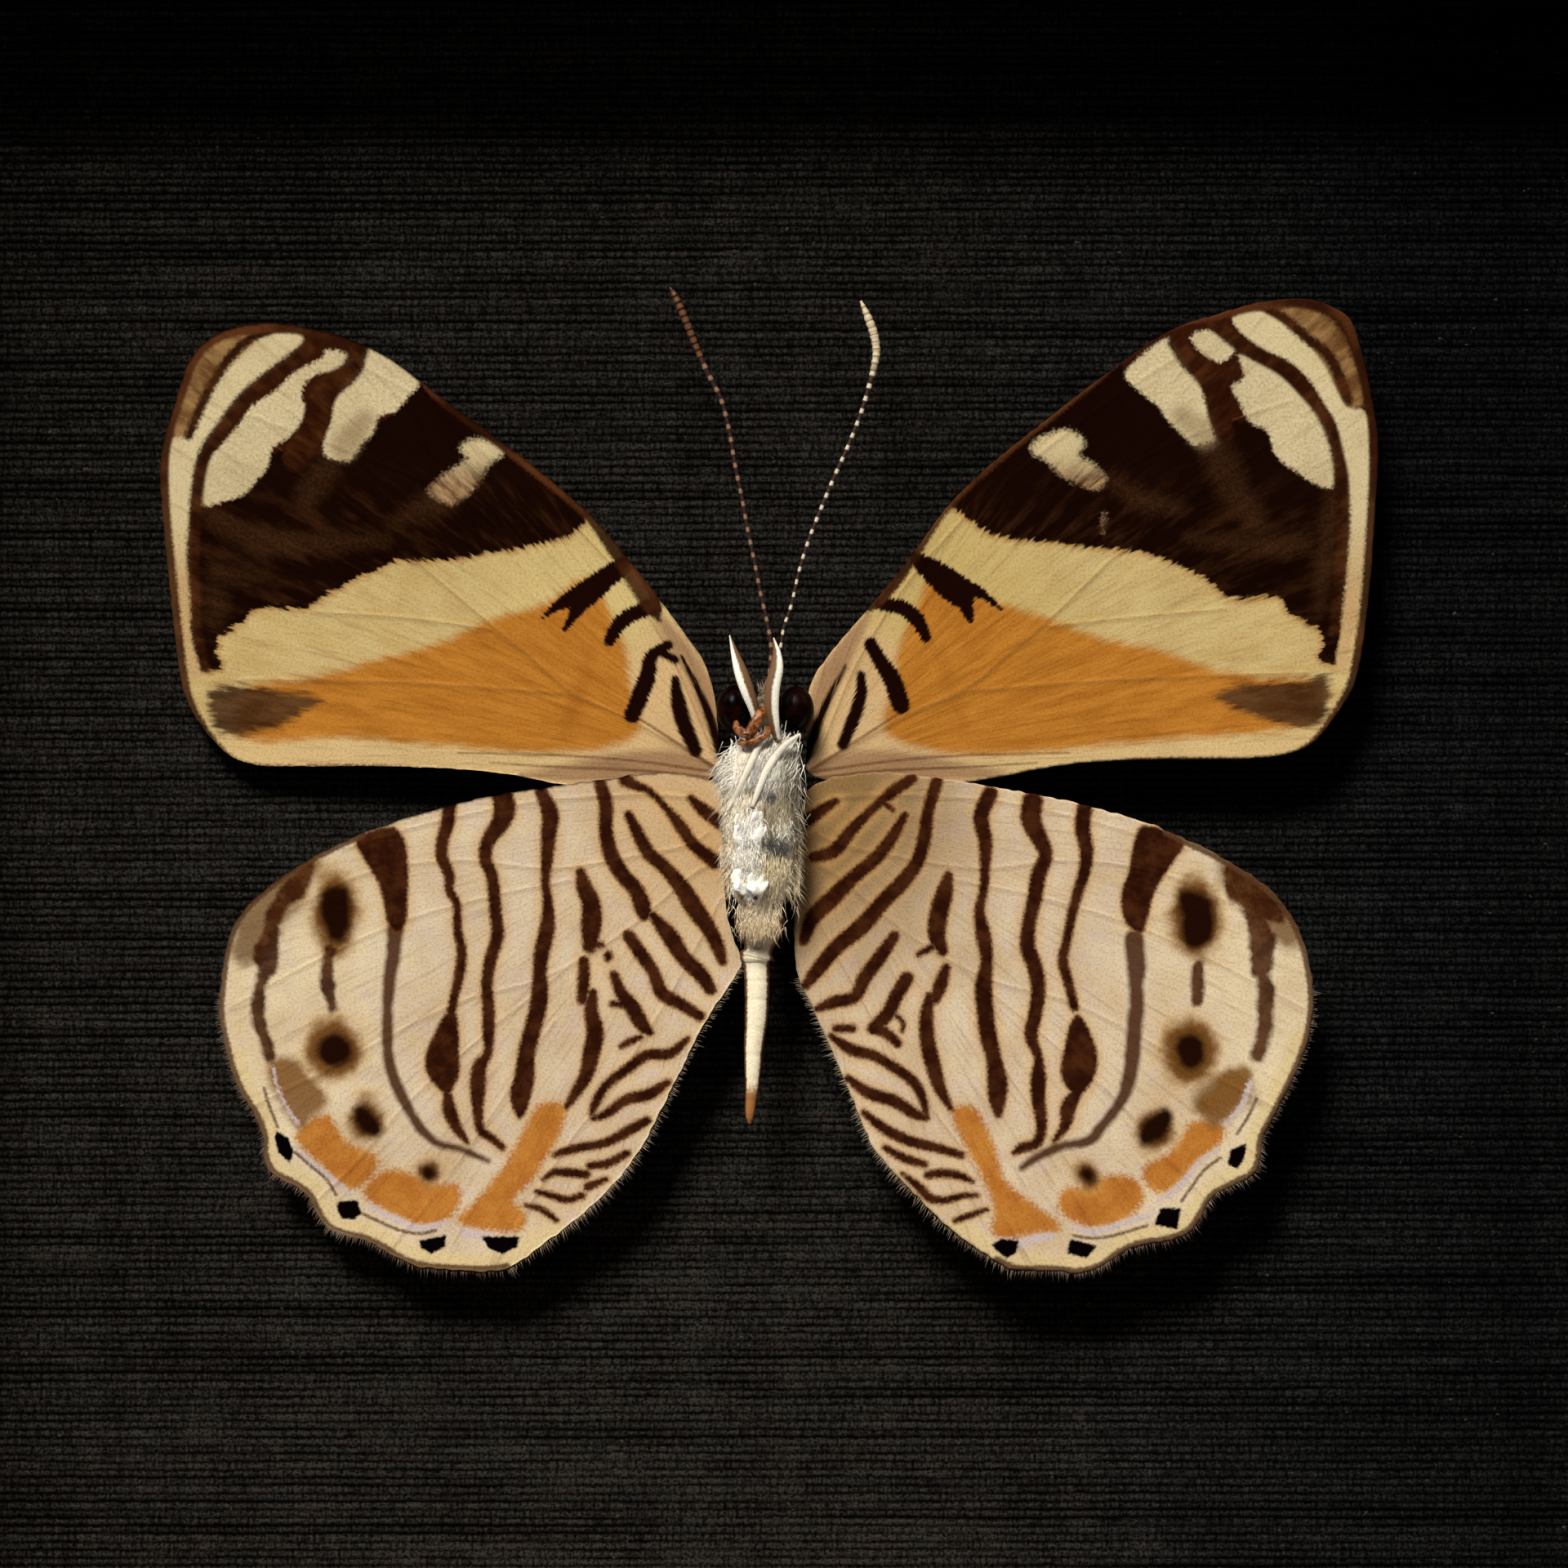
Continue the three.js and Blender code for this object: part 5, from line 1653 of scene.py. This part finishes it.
def wood_paint(name, along, pale, dark, worn):
    """Planed wood. along is the axis that the grain runs along; end grain shows on faces across it."""
    paint = Paint(name, 0.45, 0.4)
    place = paint.position()
    stretch = tuple(0.035 if axis == along else 0.5 for axis in range(3))
    waves = paint.noise(paint.scaled(place, tuple(0.3 * s for s in stretch)), 1.0, 2, 0.5)
    line = paint.noise(paint.scaled(place, stretch), 1.0, 5, 0.65, 0.6)
    pores = paint.noise(paint.scaled(place, tuple(6 * s for s in stretch)), 1.0, 2, 0.6)
    colour = paint.mix(paint.step(line, 0.35, 0.68), pale, dark)
    colour = paint.mix(paint.step(waves, 0.4, 0.7, 0.0, 0.45), colour, worn)
    colour = paint.mix(paint.step(pores, 0.55, 0.7, 0.0, 0.5), colour, tuple(0.35 * c for c in dark))
    normal = paint.node("ShaderNodeTexCoord", {}, "Normal")
    facing = paint.math("ABSOLUTE", paint.split(normal, along))
    rings = paint.noise(paint.scaled(place, (0.5, 0.5, 0.5)), 1.0, 4, 0.6, 1.5)
    end_pale, end_dark = tuple(0.55 * c for c in pale), tuple(0.5 * c for c in dark)
    end = paint.mix(paint.step(rings, 0.35, 0.65), end_pale, end_dark)
    paint.set("Base Color", paint.mix(paint.step(facing, 0.6, 0.8), colour, end))
    paint.set("Roughness", paint.step(line, 0.3, 0.7, 0.36, 0.56))
    return paint.bump(paint.math("ADD", line, paint.math("MULTIPLY", pores, 0.5)), 0.35, 0.0001)


RIB = 0.33  # pitch of the linen's ribs, in mm


def row_noise(paint, x, index, along, across, detail, rough=0.6):
    """Noise that runs along the linen's ribs and changes from rib to rib."""
    place = paint.join(paint.math("MULTIPLY", x, along), paint.math("MULTIPLY", index, across))
    return paint.noise(place, 1.0, detail, rough)


def linen_rise_and_painted_shade(paint, place, grain):
    """Height of the linen, also used as its colour tone: ribs with gaps of uneven depth, crossed by fine
    threads and bands. As colour it is painted shade, dark in the gaps between the ribs.
    """
    x, y = paint.split(place, 0), paint.split(place, 1)
    wander = paint.noise(paint.scaled(place, (0.12, 0.9, 1)), 1.0, 2, 0.6)
    wobble = paint.noise(paint.scaled(place, (1.9, 2.6, 1)), 1.0, 2, 0.6)
    level = paint.math("MULTIPLY_ADD", wobble, 0.12, paint.math("MULTIPLY_ADD", wander, 0.2, y))
    rows = paint.math("MULTIPLY", level, 1 / RIB)
    index = paint.math("FLOOR", rows)
    phase = paint.math("FRACT", rows)
    deep = row_noise(paint, x, index, 0.22, 0.7, 3, 0.7)
    heavy = paint.step(row_noise(paint, x, index, 0.025, 0.43, 1, 0.5), 0.54, 0.6)
    beads = row_noise(paint, x, index, 6.5, 0.45, 2)
    bands = paint.noise(paint.scaled(place, (0.8, 0.04, 1)), 1.0, 3, 0.6)
    lift = row_noise(paint, x, index, 0.06, 0.83, 2)
    # Painted shade: each rib is dark at its foot and crown, in the gaps where shade falls, and lightest
    # between them.
    foot = paint.step(phase, 0.0, paint.math("MULTIPLY_ADD", heavy, 0.28, 0.54))
    crown = paint.step(phase, 0.56, 1.0, 1.0, 0.1)
    gap = paint.math("SUBTRACT", 1.0, paint.math("MULTIPLY", foot, crown))
    depth = paint.math("MAXIMUM", paint.step(deep, 0.36, 0.6, 0.62, 1.0), heavy)
    rise = paint.math("SUBTRACT", 1.0, paint.math("MULTIPLY", gap, depth))
    for noise, least, most in ((beads, 0.3, 1.05), (bands, 0.82, 1.18), (lift, 0.72, 1.28)):
        rise = paint.math("MULTIPLY", rise, paint.step(noise, 0.3, 0.7, least, most))
    return paint.math("MULTIPLY", rise, paint.step(grain, 0.32, 0.68, 0.0, 2.0))


def linen_painted_shade(paint, x, y):
    """Painted shade: the card's colour darkens towards the drawer's right, and a little towards its left and
    back, standing in for the light's falloff.
    """
    shade = paint.math("MULTIPLY", paint.step(x, -2, 34, 1.0, 0.28), paint.step(x, -36, -4, 0.78, 1.0))
    return paint.math("MULTIPLY", shade, paint.step(y, -8, 26, 1.0, 0.68))


def linen_paint():
    """Black card embossed like linen, with a few pale flecks. Its colour holds painted light: painted shade
    in the gaps of the ribs, and a painted falloff that darkens it towards the sides and back and turns it
    colder towards the right.
    """
    paint = Paint("linen_card", 0.8, 0.0)
    place = paint.position()
    x, y = paint.split(place, 0), paint.split(place, 1)
    grain = paint.noise(place, 8, 3, 0.75)
    rise = linen_rise_and_painted_shade(paint, place, grain)
    tint = paint.noise(paint.scaled(place, (0.9, 1.8, 1)), 1.0, 2, 0.7)
    warm = paint.mix(paint.step(tint, 0.3, 0.7), (0.0330, 0.0268, 0.0226), (0.0292, 0.0282, 0.0230))
    # Painted light: the colour turns colder towards the right along with the painted falloff; tone is the
    # ribs' painted shade times that falloff.
    face = paint.mix(paint.step(x, 4, 26), warm, (0.0278, 0.0288, 0.0288))
    tone = paint.math("MULTIPLY", rise, linen_painted_shade(paint, x, y))
    colour = paint.mix(tone, (0.0002, 0.00018, 0.00016), face)
    fleck = paint.step(paint.noise(paint.scaled(place, (3.4, 4.6, 1)), 1.0, 1, 0.5), 0.77, 0.83)
    paint.set("Base Color", paint.mix(paint.math("MULTIPLY", fleck, 0.35), colour, (0.1, 0.088, 0.075)))
    paint.set("Roughness", paint.step(grain, 0.3, 0.7, 0.7, 0.9))
    return paint.bump(rise, 0.5, 0.00003)


def dress(nodes, name, paint, bevel=0.0):
    """Gives a CAD node its finish, and rounds its sharp edges."""
    node = nodes[name]
    node.data.materials.clear()
    node.data.materials.append(paint.material)
    if bevel:
        cut = node.modifiers.new("round", "BEVEL")
        cut.width = bevel
        cut.segments = 2
        cut.limit_method = "ANGLE"


# Distance from the spigot's inner end and radius, in mm. The spigot goes through the wall, and the knob
# starts at its outer face.
SPIGOT = [(0, 2.0), (7.98, 2.0)]
KNOB = [
    (8, 4.5), (8.9, 4.4), (10, 3.5), (11.2, 2.8), (12.6, 2.9), (15, 4.5), (17.5, 6), (20, 5), (21.5, 2.6),
    (21.95, 0.1),
]


def add_knob(paint):
    low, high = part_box("drawer_knob")
    rows = np.vstack([SPIGOT, smooth(KNOB, 8)])
    level = np.full(len(rows), (low.z + high.z) / 2)
    path = np.column_stack([np.zeros(len(rows)), high.y - rows[:, 0] * MM, level])
    places, faces, _, _ = tube(path, rows[:, 1] * MM, 72)
    add_mesh("knob_turned", places, faces, paint, ("drawer_knob",))


# Each wall and the axis that its grain runs along.
WALLS = {"drawer_front": 0, "drawer_back": 0, "drawer_side_left": 1, "drawer_side_right": 1}
WALL_BEVEL = 0.4 * MM


def dress_drawer(nodes):
    oak = ((0.34, 0.17, 0.075), (0.16, 0.07, 0.03), (0.42, 0.24, 0.12))
    knob = ((0.22, 0.09, 0.04), (0.10, 0.04, 0.02), (0.3, 0.15, 0.07))
    panel = ((0.5, 0.32, 0.17), (0.34, 0.2, 0.1), (0.55, 0.38, 0.22))
    for name, along in WALLS.items():
        dress(nodes, name, wood_paint(name, along, *oak), WALL_BEVEL)
    add_knob(wood_paint("knob_wood", 1, *knob))
    dress(nodes, "drawer_bottom", wood_paint("panel_wood", 0, *panel))
    board = plain_paint("board_foam", (0.62, 0.59, 0.52), (0.5, 0.47, 0.4), 2, 0.85, 0.2, 0.0002)
    dress(nodes, "pinning_board", board)
    dress(nodes, "lining_paper", linen_paint())
    dress(nodes, "glue_dab", plain_paint("glue", (0.6, 0.52, 0.36), (0.5, 0.4, 0.24), 1.5, 0.3, 0.5))


FLOOR_HALF = 3
FLOOR_LEVEL = -0.0005


def add_floor():
    pale, dull = (0.60, 0.59, 0.57), (0.585, 0.575, 0.555)
    paint = plain_paint("floor_plaster", pale, dull, 0.05, 0.75, 0.1, 0.00005)
    corners = ((-1, -1), (1, -1), (1, 1), (-1, 1))
    places = [(FLOOR_HALF * x, FLOOR_HALF * y, FLOOR_LEVEL) for x, y in corners]
    mesh = bpy.data.meshes.new("floor")
    mesh.from_pydata(places, [], [(0, 1, 2, 3)])
    mesh.materials.append(paint.material)
    floor = bpy.data.objects.new("floor", mesh)
    bpy.context.scene.collection.objects.link(floor)


add_camera()
add_lights()
add_floor()
bpy.context.scene.view_settings.view_transform = "Standard"
dress_drawer(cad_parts)
add_wings()
add_thorax()
add_fur()
add_coxae()
add_head()
add_palps()
add_proboscis()
add_legs()
add_abdomen()
add_antennae()
add_fringes()
